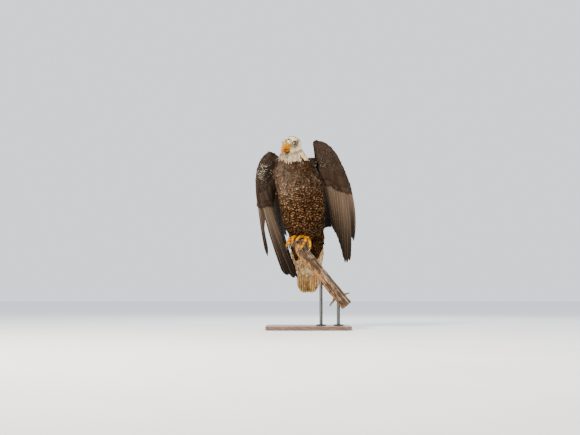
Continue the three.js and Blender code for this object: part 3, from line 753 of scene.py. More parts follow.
skin = make_skin()
skin_edges = read_all(skin.edges, "vertices", 2, np.int32)
outline = blurred(read_all(skin.vertices, "co", 3).astype(float), skin_edges, 4)
skin.vertices.foreach_set("co", outline.astype(np.float32).ravel())
skin.update()
skin_normal = read_all(skin.vertex_normals, "vector", 3).astype(float)
skin_normal = unit(blurred(skin_normal, skin_edges, 2))

# The solid nearest to each point of the skin.
distance_to = []
for node in FLESH:
    tree = BVHTree.FromPolygons(*[a.tolist() for a in merged(node)])
    distance_to.append([tree.find_nearest(Vector(p))[3] for p in outline])
nearest = np.argmin(np.array(distance_to), axis=0)
region = np.array([kind_of(n) for n in FLESH])[nearest]
region_node = np.array(FLESH)[nearest]
depth = blurred(np.array([COAT_DEPTH[k] for k in region]), skin_edges, 6)


# ---------------------------------------------------------------- the lie of the coat


def wing_places(wing, points):
    """Each point's place u, distance down the feathers, distance off the sheet, and side."""
    u, d = np.meshgrid(np.arange(0, FEATHERS + 0.01, 0.3), np.arange(-0.015, 0.211, 0.005))
    covert = wing.line(u)[4]
    u, d = u[d <= covert], d[d <= covert]
    sheets = [
        (wing.point(u, d, wing.depth(u, d, "under")), 1.0),
        (wing.point(u, d, -wing.depth(u, d, "upper")), -1.0),
    ]
    spots = np.vstack([s for s, _ in sheets])
    tree = KDTree(len(spots))
    for i, p in enumerate(spots):
        tree.insert(p, i)
    tree.balance()
    found = [tree.find(p) for p in points]
    index = np.array([f[1] for f in found])
    off = np.array([f[2] for f in found])
    side = np.where(index < len(u), 1.0, -1.0)
    return u[index % len(u)], d[index % len(u)], off, side


def flat_to(normal, direction):
    """A direction without its share along the normal."""
    return direction - normal * np.sum(direction * normal, axis=-1, keepdims=True)


here = {kind: region == kind for kind in COAT_DEPTH}
flow = np.zeros_like(outline)
reach = np.zeros(len(outline))  # length of a feather
slim = np.zeros(len(outline))  # its width as a share of its length
gap = np.zeros(len(outline))  # distance between roots as a share of its length


def set_coat(kind, direction, measure, stops, lengths, narrow, apart=0.3):
    """How one kind of feathers lies, and how long they are in millimetres at each stop."""
    wanted = here[kind]
    flow[wanted] = np.broadcast_to(direction, flow.shape)[wanted]
    reach[wanted] = np.interp(measure, stops, mm(*lengths))[wanted]
    slim[wanted], gap[wanted] = narrow, apart


x, y, z = outline.T
down = np.array((0.0, 0.0, -1.0))
outwards = np.stack([x + 0.03, np.zeros_like(x), np.zeros_like(x)], axis=1)
from_bill = outline - in_head(0.0, 0.045, -0.012)
from_bill_far = np.linalg.norm(from_bill, axis=1)
tail_line = unit(TAIL_TIP - TAIL_ROOT)

trunk_lie = down + (0, 0.35, 0) + outwards * 1.2
set_coat("trunk", trunk_lie, z, (0.46, 0.56, 0.72, 0.84), (25, 29, 27, 22), 0.5)
neck_lie = down + 0.6 * unit(outline - HEAD_AT)
set_coat("neck", neck_lie, z, (0.815, 0.84, 0.90), (36, 27, 14), 0.27, 0.16)
head_stops = (0.02, 0.045, 0.075, 0.11)
set_coat("head", from_bill + down * 0.01, from_bill_far, head_stops, (4.5, 6.5, 10, 14), 0.42)
vent_stops = (0.30, 0.36, 0.42, 0.5)
set_coat("tail_coverts", tail_line + (0, 0.1, 0), z, vent_stops, (46, 44, 40, 30), 0.40, 0.17)
set_coat("leg", down + (0, 0.12, 0), z, (0.36, 0.5), (26, 32), 0.42, 0.22)

wing_side = np.zeros(len(outline))  # 1 on the under side, -1 on the upper side
wing_share = np.zeros(len(outline))  # distance down the coverts, as a share of their length
wing_off = np.zeros(len(outline))  # distance from the wing's own sheet
for name, wing in wings.items():
    of_wing = here["wing"] & np.char.startswith(region_node, f"wing_{name}")
    u, d, off, under = wing_places(wing, outline[of_wing])
    _, along, _, _, covert = wing.line(u)
    outward = wing.sides(u)[0]
    share = d / covert
    flow[of_wing] = along + outward * np.interp(d, (-0.015, 0.03), (0.8, 0.05))[:, None]
    length = np.interp(share, (0, 0.25, 0.6, 1), mm(11, 16, 26, 34))
    reach[of_wing] = np.where(off > OFF_WING, 0.026, length)
    wing_side[of_wing], wing_share[of_wing], wing_off[of_wing] = under, share, off
slim[here["wing"]] = 0.66
gap[here["wing"]] = 0.34

flow = unit(flat_to(skin_normal, unit(flow)))
for _ in range(8):
    flow = unit(flat_to(skin_normal, blurred(flow, skin_edges, 1, 0.6)))
reach = blurred(reach, skin_edges, 4)

# ---------------------------------------------------------------- markings


def near(points, centre, radius):
    """1 at the centre, fading out past the radius."""
    return np.exp(-np.sum((points - centre) ** 2, axis=1) / radius**2)


def blend(a, b, amount):
    amount = np.clip(np.asarray(amount, float), 0, 1)[..., None]
    return a * (1 - amount) + b * amount


BREAST_PATCH = mm(-128, -115, 735)
MOTTLES = [(mm(-230, -90, 790), 0.040), (mm(38, -75, 796), 0.045)]
SHOULDER_MOTTLE = mm(20, -60, 805)
BACK_FROM = 0.015  # the back lies behind this y


def brown_marks(points, chance, broad, fine):
    """Body feathers: brown, greyer on the breast, with tan rims that come and go."""
    shade = blend(DEEP_BROWN, MID_BROWN, 0.25 + 0.6 * broad)
    shade = blend(shade, GREY_BROWN * 1.25, 0.85 * near(points, BREAST_PATCH, 0.085))
    high_up = smooth(0.66, 0.76, points[:, 2])
    streak = layered_noise(points * (1, 1, 0.3), 0.018, 31, 2)
    shade = blend(shade, GREY_BROWN, 0.75 * high_up * smooth(0.42, 0.62, streak))
    strength = np.clip(-0.15 + 1.45 * fine + 0.5 * chance, 0, 1)
    mottled = 0.35 + 1.2 * layered_noise(points, 0.05, 13, 2)
    strength = strength * np.where(points[:, 1] > BACK_FROM, 0.22, mottled)
    levels = (0.5, 0.58, 0.68, 0.76, 0.83)
    strength = strength * np.interp(points[:, 2], levels, (0.7, 1.0, 1.0, 0.5, 0.3))
    rim = blend(shade * 1.5, blend(TAN, PALE_TAN, chance), strength)
    spot = near(points, SHOULDER_MOTTLE, 0.04) * smooth(0.5, 0.75, chance)
    return shade, blend(rim, WHITE * 0.85, spot)


def wing_marks(points, chance, broad, fine, under):
    """Wing coverts: brown, with white mottles near the two shoulders."""
    shade = blend(DEEP_BROWN, GREY_BROWN, 0.15 + 0.35 * broad)
    rim = blend(shade * 1.4, GREY_BROWN * 1.5, 0.3 + 0.5 * chance)
    for centre, radius in MOTTLES:
        spot = near(points, centre, radius) * smooth(0.52, 0.68, 0.6 * fine + 0.5 * chance)
        rim = blend(rim, WHITE, 1.3 * spot)
    upper = blend(shade * 1.4, PALE_TAN, 0.02 + 0.12 * chance)
    return shade, np.where((under < 0)[:, None], upper, rim)


def white_marks(points, chance, broad, on_head):
    """Head and neck: white to cream, creamier on the front of the neck as painted warm light, grey
    skin and painted shade about the eye and under the bill, dark crown flecks.
    """
    # Creamier on the front of the neck, the lit side: painted warm light. The head is kept whiter.
    painted_warmth = np.where(on_head, -0.2, 0.3 * smooth(0.02, -0.10, points[:, 1]))
    white = blend(WHITE, CREAM, 0.45 * broad + 0.4 * chance + painted_warmth)
    white = blend(white, PALE_TAN, 0.8 * smooth(0.66, 0.92, chance) * ~on_head)
    side, forward, height = from_head(points)
    on_side = smooth(0.012, 0.022, np.abs(side))
    # Painted shade about the eye: a dark ring under the brow, and grey on the lores, in a line behind
    # the eye, on the chin and under the gape. The lores are partly grey skin of their own.
    eye_shade_ring = smooth(0.019, 0.011, np.hypot(forward - EYE_FORWARD, height - EYE_HEIGHT)) * on_side
    lores = smooth(0.024, 0.006, np.hypot((forward - 0.036) / 1.3, height + 0.004)) * on_side
    slant = height - EYE_HEIGHT - 0.4 * (EYE_FORWARD - forward)
    behind = smooth(0.011, 0.002, np.abs(slant)) * smooth(-0.022, 0.010, forward)
    chin_shadow = smooth(-0.018, -0.032, height) * smooth(0.0, 0.03, forward)
    cheek_shadow = smooth(0.009, 0.002, np.abs(height + 0.029 - 0.2 * (0.02 - forward)))
    cheek_shadow = cheek_shadow * smooth(-0.025, 0.0, forward) * on_side
    grey = np.clip(0.95 * lores + 0.6 * chin_shadow + 0.85 * behind * on_side + 0.7 * cheek_shadow, 0, 0.93)
    white = blend(white, SHADOW_GREY, grey)
    white = blend(white, DEEP_BROWN * 2, 0.8 * eye_shade_ring)
    crown = smooth(0.002, 0.014, height) * smooth(-0.012, 0.010, forward) * on_head
    sparse = 0.44 + 0.12 * smooth(0.004, 0.020, side)
    flecks = value_noise(points, 0.011, 21) * 0.6 + 0.4 * chance
    fleck = crown * smooth(sparse, sparse + 0.08, flecks)
    white = blend(white, MID_BROWN * 0.7, 0.97 * fleck)
    return white, blend(white, WHITE, 0.4 - 0.38 * (fleck > 0.3))


def vent_marks(points, chance, broad):
    """Coverts of the tail: whiter behind the tail; before it, buff from painted warm light, with
    patches of painted brown shadow.
    """
    lit_buff = blend(CREAM, WARM_LIT_BUFF, 0.55 + 0.5 * chance)
    behind_tail = points[:, 1] - TAIL_ROOT[1] - 0.43 * (TAIL_ROOT[2] - points[:, 2])
    cream = blend(lit_buff, WHITE, 0.25 * broad + 0.8 * smooth(-0.004, 0.020, behind_tail))
    # Patches of painted brown shadow on the coverts before the tail.
    shadow_patch = smooth(0.52, 0.66, layered_noise(points, 0.035, 41, 2))
    cream = blend(cream, VENT_SHADOW_BROWN, 0.6 * shadow_patch * smooth(0.02, -0.01, behind_tail))
    return cream, blend(cream, WHITE, 0.28)


def markings(points, kind, under, chance):
    """The shade of each feather and of its rim, from its place. chance is its own random number."""
    broad = layered_noise(points, 0.09, 3)
    fine = value_noise(points, 0.016, 9)
    white_edge = 0.857 - 0.022 * np.exp(-(((points[:, 0] - HEAD_AT[0]) / 0.045) ** 2))
    ragged = 0.030 * (value_noise(points, 0.008, 17) - 0.5)
    on_head = kind == "head"
    pale = on_head | ((kind == "neck") & (points[:, 2] > white_edge + ragged))
    shade, rim = brown_marks(points, chance, broad, fine)
    for wanted, marks in (
        (kind == "wing", wing_marks(points, chance, broad, fine, under)),
        (kind == "leg", (shade, blend(shade, TAN, 0.3 * chance + 0.2))),
        (pale, white_marks(points, chance, broad, on_head)),
        (kind == "tail_coverts", vent_marks(points, chance, broad)),
    ):
        shade, rim = (np.where(wanted[:, None], a, b) for a, b in zip(marks, (shade, rim)))
    return shade, rim


skin_shade, skin_rim = markings(outline, region, wing_side, value_noise(outline, 0.008, 5))
skin_shade = blurred(blend(skin_shade, skin_rim, 0.25), skin_edges, 2)

# ---------------------------------------------------------------- feathers over the skin


def unwrap(mesh):
    """An unwrap of the mesh's own shape, one pair a corner."""
    holder = add_object("unwrapping", mesh)
    bpy.ops.object.select_all(action="DESELECT")
    holder.select_set(True)
    bpy.context.view_layer.objects.active = holder
    bpy.ops.object.mode_set(mode="EDIT")
    bpy.ops.mesh.select_all(action="SELECT")
    bpy.ops.uv.smart_project(angle_limit=math.radians(70), island_margin=0.004)
    bpy.ops.object.mode_set(mode="OBJECT")
    bpy.data.objects.remove(holder)
    return read_all(mesh.uv_layers.active.data, "uv", 2)


def feather_form(name, widths, tips, camber=0.05):
    """One closed vane with a ragged tip, one unit long and wide.

    widths are taken at the stations. tips gives place across and reach of each lobe of the tip."""
    columns = np.linspace(-1, 1, len(tips) + 1)
    verts, faces = [], []

    def at(x, v, low=0.0):
        lift = VANE_ARCH * math.sin(math.pi * min(v, 1) ** 0.8) - camber * abs(x) ** 1.5 * 2
        verts.append((x, v, lift - low))
        return len(verts) - 1

    # The upper face in rows, the keel below it, and the underside of the tip.
    root = at(0, 0)
    tops = [[at(x * w / 2, v) for x in columns] for v, w in zip(STATIONS, widths)]
    keel = [at(0, v, VANE_THICK) for v in STATIONS[:-1]]
    last = [at(x * widths[-1] / 2, STATIONS[-1], VANE_THICK * 0.7) for x in columns]
    ends = [at(x * widths[-1] / 2, v, VANE_THICK * 0.35) for x, v in tips]
    for i in range(len(tips)):
        faces.append((root, tops[0][i], tops[0][i + 1]))
        for low, high in zip(tops, tops[1:]):
            faces.append((low[i], high[i], high[i + 1], low[i + 1]))
        faces.append((tops[-1][i], ends[i], tops[-1][i + 1]))
        faces.append((last[i], last[i + 1], ends[i]))
        faces.append((tops[-1][i], last[i], ends[i]))
        faces.append((tops[-1][i + 1], ends[i], last[i + 1]))
        faces.append((keel[-1], last[i + 1], last[i]))
    for side, turn in ((0, -1), (-1, 1)):
        rims = [row[side] for row in tops[:-1]]
        flank = [(root, rims[0], keel[0])]
        for k in range(len(keel) - 1):
            flank.append((rims[k], rims[k + 1], keel[k + 1], keel[k]))
        flank.append((tops[-2][side], tops[-1][side], last[side], keel[-1]))
        faces += [face[::turn] for face in flank]
    uvs = [(0.5 + x, v) for x, v, _ in verts]
    verts = np.array(verts)
    return add_object(name, mesh_of(name, verts, outward_faces(verts, faces), {"Vane": uvs}))


VANE_ARCH, VANE_THICK = 0.03, 0.010  # as shares of a feather's length
STATIONS = (0.14, 0.45, 0.74, 0.90)
ROUND_TIP = ((0.55, 0.98, 0.98, 0.72), ((-0.8, 0.945), (-0.28, 0.99), (0.3, 1.0), (0.84, 0.95)))
POINTED = ((0.6, 0.98, 0.68, 0.36), ((-0.6, 0.955), (0.02, 1.0), (0.62, 0.94)))
SOFT_POINTED = ((0.55, 1.0, 0.86, 0.54), ((-0.78, 0.94), (-0.25, 0.985), (0.27, 1.0), (0.8, 0.95)))


def laying_tree():
    """Nodes that set a feather on every root, turned and sized by the root's own values."""
    tree = bpy.data.node_groups.new("lay_feathers", "GeometryNodeTree")
    sockets = {}
    for title, kind in (
        ("Roots", "NodeSocketGeometry"),
        ("Feather", "NodeSocketObject"),
        ("Finish", "NodeSocketMaterial"),
        ("Patch size", "NodeSocketFloat"),
    ):
        sockets[title] = tree.interface.new_socket(title, in_out="INPUT", socket_type=kind)
    tree.interface.new_socket("Coat", in_out="OUTPUT", socket_type="NodeSocketGeometry")

    def add(kind, links=(), values=(), **settings):
        node = tree.nodes.new(kind)
        for key, value in settings.items():
            setattr(node, key, value)
        for key, value in dict(values).items():
            node.inputs[key].default_value = value
        for key, source in dict(links).items():
            tree.links.new(source, node.inputs[key])
        return node

    def read(title, kind="FLOAT_VECTOR"):
        node = add("GeometryNodeInputNamedAttribute", values={"Name": title}, data_type=kind)
        return node.outputs["Attribute"]

    given = add("NodeGroupInput")
    form = add("GeometryNodeObjectInfo", {"Object": given.outputs["Feather"]})
    laid = add(
        "GeometryNodeInstanceOnPoints",
        {
            "Points": given.outputs["Roots"],
            "Instance": form.outputs["Geometry"],
            "Rotation": read("turn"),
            "Scale": read("size"),
        },
    )
    real = add("GeometryNodeRealizeInstances", {"Geometry": laid.outputs[0]})
    centred = add(
        "ShaderNodeVectorMath",
        {0: read("Vane")},
        {1: (0.5, 0.5, 0.0)},
        operation="SUBTRACT",
    )
    patch = add(
        "ShaderNodeVectorMath",
        {0: centred.outputs[0], "Scale": given.outputs["Patch size"]},
        operation="SCALE",
    )
    spot = add("ShaderNodeVectorMath", {0: patch.outputs[0], 1: read("root_uv")}, operation="ADD")
    kept = add(
        "GeometryNodeStoreNamedAttribute",
        {"Geometry": real.outputs[0], "Value": spot.outputs[0]},
        {"Name": "OFBake"},
        data_type="FLOAT2",
        domain="CORNER",
    )
    finished = add(
        "GeometryNodeSetMaterial",
        {"Geometry": kept.outputs[0], "Material": given.outputs["Finish"]},
    )
    add("NodeGroupOutput", {0: finished.outputs[0]})
    return tree, sockets


def euler_of(across, along, up):
    """XYZ turns that carry the axes onto three directions at right angles."""
    x = np.arctan2(along[:, 2], up[:, 2])
    y = np.arcsin(np.clip(-across[:, 2], -1, 1))
    z = np.arctan2(across[:, 1], across[:, 0])
    return stacked(x, y, z)


def spread(points, spacing):
    """Indices of points that keep their distance from those before them."""
    size = float(spacing.max())
    cells, kept = {}, []
    keys = np.floor(points / size).astype(int).tolist()
    near_by = [(i, j, k) for i in (-1, 0, 1) for j in (-1, 0, 1) for k in (-1, 0, 1)]
    for index, (p, (i, j, k), r) in enumerate(zip(points.tolist(), keys, (spacing**2).tolist())):
        free = True
        for di, dj, dk in near_by:
            for qx, qy, qz in cells.get((i + di, j + dj, k + dk), ()):
                if (p[0] - qx) ** 2 + (p[1] - qy) ** 2 + (p[2] - qz) ** 2 < r:
                    free = False
                    break
            if not free:
                break
        if free:
            cells.setdefault((i, j, k), []).append(p)
            kept.append(index)
    return np.array(kept)


skin_uv = unwrap(skin)
skin.calc_loop_triangles()
triangles = read_all(skin.loop_triangles, "vertices", 3, np.int32)
corner_of = read_all(skin.loop_triangles, "loops", 3, np.int32)
under_coat = outline - skin_normal * depth[:, None]
EYES = [in_head(s * EYE_SIDE, EYE_FORWARD, EYE_HEIGHT) for s in (1, -1)]
lay_feathers, laying_inputs = laying_tree()


CROWDING = 7.0  # roots tried for each that there is room for
PATCH = 0.003  # of the map, the share that one feather covers


def roots_on(wanted):
    """Roots over the wanted part of the skin, with the skin's values at each."""
    inside = np.flatnonzero(wanted[triangles].sum(axis=1) >= 2)
    a, b, c = (outline[triangles[inside, k]] for k in range(3))
    area = np.linalg.norm(np.cross(b - a, c - a), axis=1) / 2
    spacing = (reach * gap)[triangles[inside, 0]]
    weight = area / spacing**2
    count = int(CROWDING * weight.sum())
    chosen = inside[rng.choice(len(inside), count, p=weight / weight.sum())]
    r1, r2 = np.sqrt(rng.random(count)), rng.random(count)
    share = np.stack([1 - r1, r1 * (1 - r2), r1 * r2], axis=1)

    def read(values):
        share_of = share.reshape(count, 3, *[1] * (values.ndim - 1))
        return (values[triangles[chosen]] * share_of).sum(axis=1)

    spot = read(outline)
    kept = spread(spot, read(reach) * read(gap))
    chosen, share, count, spot = chosen[kept], share[kept], len(kept), spot[kept]
    biggest = np.argmax(share, axis=1)
    vertex = triangles[chosen, biggest]
    return {
        "spot": spot,
        "skin": read(under_coat),
        "normal": unit(read(skin_normal)),
        "flow": unit(read(flow)),
        "reach": read(reach),
        "slim": read(slim),
        "depth": read(depth),
        "uv": (skin_uv[corner_of[chosen]] * share[..., None]).sum(axis=1),
        "kind": region[vertex],
        "under": wing_side[vertex],
        "share": wing_share[vertex],
        "off": wing_off[vertex],
    }


def keep(roots, wanted):
    """The roots where wanted is true."""
    return {key: values[wanted] for key, values in roots.items()}


def lay_coat(name, roots, form, finish, ruffle=0.05):
    """Lays a feather on every root, from the skin up to the outline of the coat."""
    count = len(roots["spot"])
    length = roots["reach"] * rng.uniform(0.85, 1.15, count)
    yaw, roll = rng.normal(0, 0.09, count), rng.normal(0, 0.10, count)
    normal, along = roots["normal"], unit(flat_to(roots["normal"], roots["flow"]))
    across = np.cross(along, normal)
    along = unit(along + across * yaw[:, None])
    rise = np.clip(roots["depth"] * 0.9 / length, 0.03, 0.3)
    rise = rise + rng.normal(0, ruffle, count).clip(-0.03, 0.12)
    up = unit(normal - along * rise[:, None] + across * roll[:, None])
    along = unit(flat_to(up, along))
    across = np.cross(along, up)
    chance = rng.random(count)
    kind = roots["kind"]
    shade, rim = markings(roots["spot"], kind, roots["under"], chance)
    varied = np.select([np.isin(kind, ("head", "neck")), kind == "trunk"], [0.05, 0.33], 0.2)
    tone = np.exp(rng.normal(0, varied))[:, None]
    width = length * roots["slim"] * rng.uniform(0.88, 1.14, count)
    start = bpy.data.meshes.new(name + "_roots")
    start.from_pydata((roots["skin"] - normal * 0.0004).tolist(), [], [])
    keep_values(start, {
        "turn": euler_of(across, along, up),
        "size": np.stack([width, length, (width + length) / 2], 1),
        "root_uv": np.hstack([roots["uv"], np.zeros((count, 1))]),
        "shade": rgba(np.clip(shade * tone, 0, 0.9)),
        "edge": rgba(np.clip(rim * tone, 0, 0.9)),
    })
    holder = add_object(name + "_roots", start)
    laying = holder.modifiers.new("laying", "NODES")
    laying.node_group = lay_feathers
    for title, value in (("Feather", form), ("Finish", finish), ("Patch size", PATCH)):
        laying[laying_inputs[title].identifier] = value
    mesh = evaluated_mesh(holder)
    for key in ("turn", "size", "root_uv"):
        mesh.attributes.remove(mesh.attributes[key])
    mesh.name = name
    return add_piece(name, mesh, finish)


SOFT_BROWN = feather_finish("brown_body_feathers", rim=(0.72, 1.06), shaft=0.35)
SOFT_WHITE = feather_finish("white_head_feathers", rim=(0.5, 1.0), shaft=0.14, barbs=0.14)
SOFT_CREAM = feather_finish("white_vent_feathers", rim=(0.6, 1.0), shaft=0.3, barbs=0.2)
COVERT_BROWN = feather_finish("brown_wing_coverts", rim=(0.7, 0.98), shaft=0.35)

round_vane = feather_form("round_vane", *ROUND_TIP)
pointed_vane = feather_form("pointed_vane", *POINTED, camber=0.1)
soft_vane = feather_form("soft_vane", *SOFT_POINTED)

body_roots = roots_on(here["trunk"])
behind = body_roots["spot"][:, 1] > BACK_FROM
lay_coat("breast_feathers", keep(body_roots, ~behind), soft_vane, SOFT_BROWN)
lay_coat("back_feathers", keep(body_roots, behind), round_vane, SOFT_BROWN, 0.03)
lay_coat("leg_feathers", roots_on(here["leg"]), soft_vane, SOFT_BROWN)
vent_roots = roots_on(here["tail_coverts"])
vent_edge = 0.318 + 0.035 * (value_noise(vent_roots["spot"], 0.014, 23) - 0.5)
vent_roots = keep(vent_roots, vent_roots["spot"][:, 2] > vent_edge)
lay_coat("vent_feathers", vent_roots, soft_vane, SOFT_CREAM)
lay_coat("neck_feathers", roots_on(here["neck"]), pointed_vane, SOFT_WHITE, 0.03)

head_roots = roots_on(here["head"])
to_eye = np.min([np.linalg.norm(head_roots["spot"] - e, axis=1) for e in EYES], axis=0)
head_roots = keep(head_roots, to_eye > EYE_RADIUS + 0.0008)
for line, clear in ((np.linspace(GAPE_FROM, GAPE_TO, 12), 0.0062), (BROW_LINE[:, :3], 0.0048)):
    for s in (1, -1):
        path = spline(in_head(*(line * (s, 1, 1)).T), np.linspace(0, 1, 16))
        gaps = [np.linalg.norm(head_roots["spot"] - at, axis=1) for at in path]
        head_roots = keep(head_roots, np.min(gaps, axis=0) > clear)
lay_coat("head_feathers", head_roots, pointed_vane, SOFT_WHITE, 0.02)

for name in wings:
    of_wing = here["wing"] & np.char.startswith(region_node, f"wing_{name}")
    roots = roots_on(of_wing)
    roots = keep(roots, (roots["share"] < 0.82) | (roots["off"] > OFF_WING))
    lay_coat(f"wing_{name}_coverts", roots, round_vane, COVERT_BROWN, 0.02)

for form in (round_vane, pointed_vane, soft_vane):
    bpy.data.objects.remove(form)


# ---------------------------------------------------------------- flight feathers


def vane_sheet(point, rows, shares, half_thick, shaft_at, shaft_size):
    """A closed vane with a shaft along both faces.

    point(share, row, height) gives its places; shares cross it and rows run down it. Returns
    verts, faces, map, 1 on the shaft, and a number that is 1 on the under face and 0 on the upper."""
    grid = np.meshgrid(shares, rows)
    thick = half_thick * (1 - 0.7 * np.abs(grid[0] - shaft_at)) * (1 - 0.6 * grid[1] ** 3)
    top, bottom = point(*grid, thick), point(*grid, -thick)
    r, c = grid[0].shape
    verts = np.vstack([top.reshape(-1, 3), bottom.reshape(-1, 3)])
    first, wide = shares[0], shares[-1] - shares[0]
    across = (grid[0] - first) / wide
    uv = np.stack([across, grid[1]], axis=-1).reshape(-1, 2)
    faces = []
    index = lambda i, j, face: face * r * c + i * c + j
    for i in range(r - 1):
        for j in range(c - 1):
            a, b = index(i, j, 0), index(i, j + 1, 0)
            faces.append((a, b, b + c, a + c))
            a, b = index(i, j, 1), index(i, j + 1, 1)
            faces.append((a, a + c, b + c, b))
    for i in range(r - 1):
        for j, turn in ((0, 1), (c - 1, -1)):
            quad = (index(i, j, 0), index(i + 1, j, 0), index(i + 1, j, 1), index(i, j, 1))
            faces.append(quad[::turn])
    for j in range(c - 1):
        for i, turn in ((0, -1), (r - 1, 1)):
            quad = (index(i, j, 0), index(i, j + 1, 0), index(i, j + 1, 1), index(i, j, 1))
            faces.append(quad[::turn])
    # The shaft is a four-sided tapering rib through the vane.
    taper = shaft_size * (1 - 0.85 * rows**1.2)
    width = 0.045 * wide * (1 - 0.7 * rows)
    at = np.full_like(rows, shaft_at)
    ring = np.stack(
        [
            point(at - width, rows, np.zeros_like(rows)),
            point(at, rows, taper),
            point(at + width, rows, np.zeros_like(rows)),
            point(at, rows, -taper),
        ],
        axis=1,
    )
    middle = (shaft_at - first) / wide
    rib = np.vstack([ring.reshape(-1, 3), ring[0].mean(axis=0), ring[-1].mean(axis=0)])
    rib_rows = np.append(np.repeat(rows, 4), [rows[0], rows[-1]])
    rib_uv = np.stack([np.full_like(rib_rows, middle), rib_rows], axis=1)
    rib_faces = [tuple(k + len(verts) for k in f) for f in tube_faces(len(rows), 4)]
    quill = np.concatenate([np.zeros(len(verts)), np.ones(len(rib))])
    face = np.repeat([1.0, 0.0, 0.5], [r * c, r * c, len(rib)])
    return np.vstack([verts, rib]), faces + rib_faces, np.vstack([uv, uv, rib_uv]), quill, face


def strip_map(uv, index, count):
    """Each feather's own strip of a square map."""
    return np.stack([(index + 0.04 + 0.92 * uv[:, 0]) / count, 0.01 + 0.98 * uv[:, 1]], axis=1)


class Vanes(Parts):
    """Large feathers gathered into one mesh, each with its own strip of the map."""

    def __init__(self, count):
        super().__init__()
        self.strips, self.made = count, 0

    def lay(self, sheet, pale=0.0, **values):
        verts, faces, uv, quill, face = sheet
        faces = outward_faces(verts, faces)
        strip = strip_map(uv, self.made, self.strips)
        self.made += 1
        values.update(vane=uv, strip=strip, quill=quill, face=face, own=rng.random(), pale=pale)
        self.add(verts, faces, **values)

    def piece(self, name, slot, finish, replaces=()):
        verts, faces, values = self.all()
        uvs = {"Vane": values.pop("vane"), "OFBake": values.pop("strip")}
        for key in ("shade", "edge"):
            values[key] = rgba(values[key])
        return add_piece(name, mesh_of(name, verts, faces, uvs, values), finish, replaces)


ACROSS = np.array((-0.32, -0.12, 0.15, 0.4, TIP_AT, 0.78, 0.92, 1.03))
TUCK = 0.05  # how far a feather runs on under its coverts
FLIGHT_ROWS = np.array((0, 0.08, 0.18, 0.3, 0.42, 0.54, 0.66, 0.77, 0.86, 0.93, 0.975, 1.0))


def tip_fall(share, steep=0.6):
    """How far short of the tip a feather ends, across it."""
    inner = np.clip((TIP_AT - share) / (TIP_AT - ACROSS[0]), 0, 1) ** 2.2
    outer = np.clip((share - TIP_AT) / (ACROSS[-1] - TIP_AT), 0, 1) ** 2.2
    return np.where(share < TIP_AT, inner, steep * outer)


def flight_point(wing, feather, rounding):
    """Places on one flight feather, from under its coverts to its tip."""

    def point(share, row, height):
        u = np.clip(feather + share, 0.0, FINGER - 0.001)
        _, _, length, _, covert = wing.line(u)
        end = length - rounding * tip_fall(share)
        distance = covert - TUCK + (end - covert + TUCK) * row
        lift = 0.0016 - 0.0030 * (share - ACROSS[0]) / (ACROSS[-1] - ACROSS[0])
        curl = 0.006 * row**3 * (1 if feather >= SECONDARIES else 0.5)
        return wing.point(u, distance, height + lift - curl)

    return point


def finger_point(wing):
    """Places on the outermost feather, which stands apart from the rest and is narrower."""
    shaft_u = FINGER + TIP_AT

    def point(share, row, height):
        _, _, long, _, covert = wing.line(np.asarray(shaft_u))
        t = (covert - TUCK + (long - covert + TUCK) * row) / long
        beyond = np.clip((t - wing.finger_parts) / (1 - wing.finger_parts), 0, 1)
        tip = np.sqrt(np.clip(1 - smooth(0.72, 1.0, beyond) * 0.995, 0.005, 1))
        inner = (1 - wing.finger_narrowing * np.minimum(beyond * 2.2, 1)) * tip
        outer = (1 - 0.3 * beyond) * tip
        offset = np.where(share < TIP_AT, (share - TIP_AT) * inner, (share - TIP_AT) * outer)
        offset = offset * np.where(share < TIP_AT, 0.66, 0.9)
        u = np.clip(shaft_u + offset, FINGER + 0.002, FEATHERS)
        length = wing.line(u)[2]
        # The inner web reaches behind the next feather as far as the two stay together.
        web = np.clip((TIP_AT - share) / (TIP_AT - ACROSS[0]), 0, 1)
        web = web * smooth(*wing.web_parts[::-1], t)
        placed = wing.point(u, t * length, height - 0.004 * row**3 - 0.004 * web)
        return placed - wing.sides(u)[0] * (wing.web * web)[..., None]

    return point


def make_flight_feathers(name, wing):
    """All the long feathers of a wing, each in its own shade."""
    primaries, secondaries = Vanes(PRIMARIES), Vanes(SECONDARIES)
    for feather in range(FEATHERS):
        outer = feather >= SECONDARIES
        rounding = 0.036 if feather > FINGER - 4 else 0.020 if outer else 0.016
        chance = rng.random()
        shade = blend(DEEP_BROWN, GREY_BROWN, 0.3 + 0.3 * chance) * (1.0 if outer else 0.75)
        edge = blend(GREY_BROWN, PALE_TAN, 0.05 + 0.25 * rng.random())
        pale = float(np.interp(feather, (0, 10, 14, 23), (0.05, 0.12, 0.75, 0.9)))
        if feather == FINGER:
            place = finger_point(wing)
        else:
            place = flight_point(wing, feather, rounding)
        half = 0.0006 if outer else 0.0005
        sheet = vane_sheet(place, FLIGHT_ROWS, ACROSS, half, TIP_AT, 0.0019 if outer else 0.0014)
        (primaries if outer else secondaries).lay(sheet, pale, shade=shade, edge=edge)
    for vanes, kind, node in (
        (primaries, "primary", "primaries"),
        (secondaries, "secondary", "secondaries"),
    ):
        vanes.piece(f"wing_{name}_{kind}_vanes", "flight_feathers", FLIGHT, [f"wing_{name}_{node}"])


COVERT_ROWS = np.array((0, 0.25, 0.5, 0.7, 0.84, 0.93, 0.98, 1.0))
COVERT_ACROSS = np.array((-0.25, 0.05, 0.5, 0.95, 1.25))


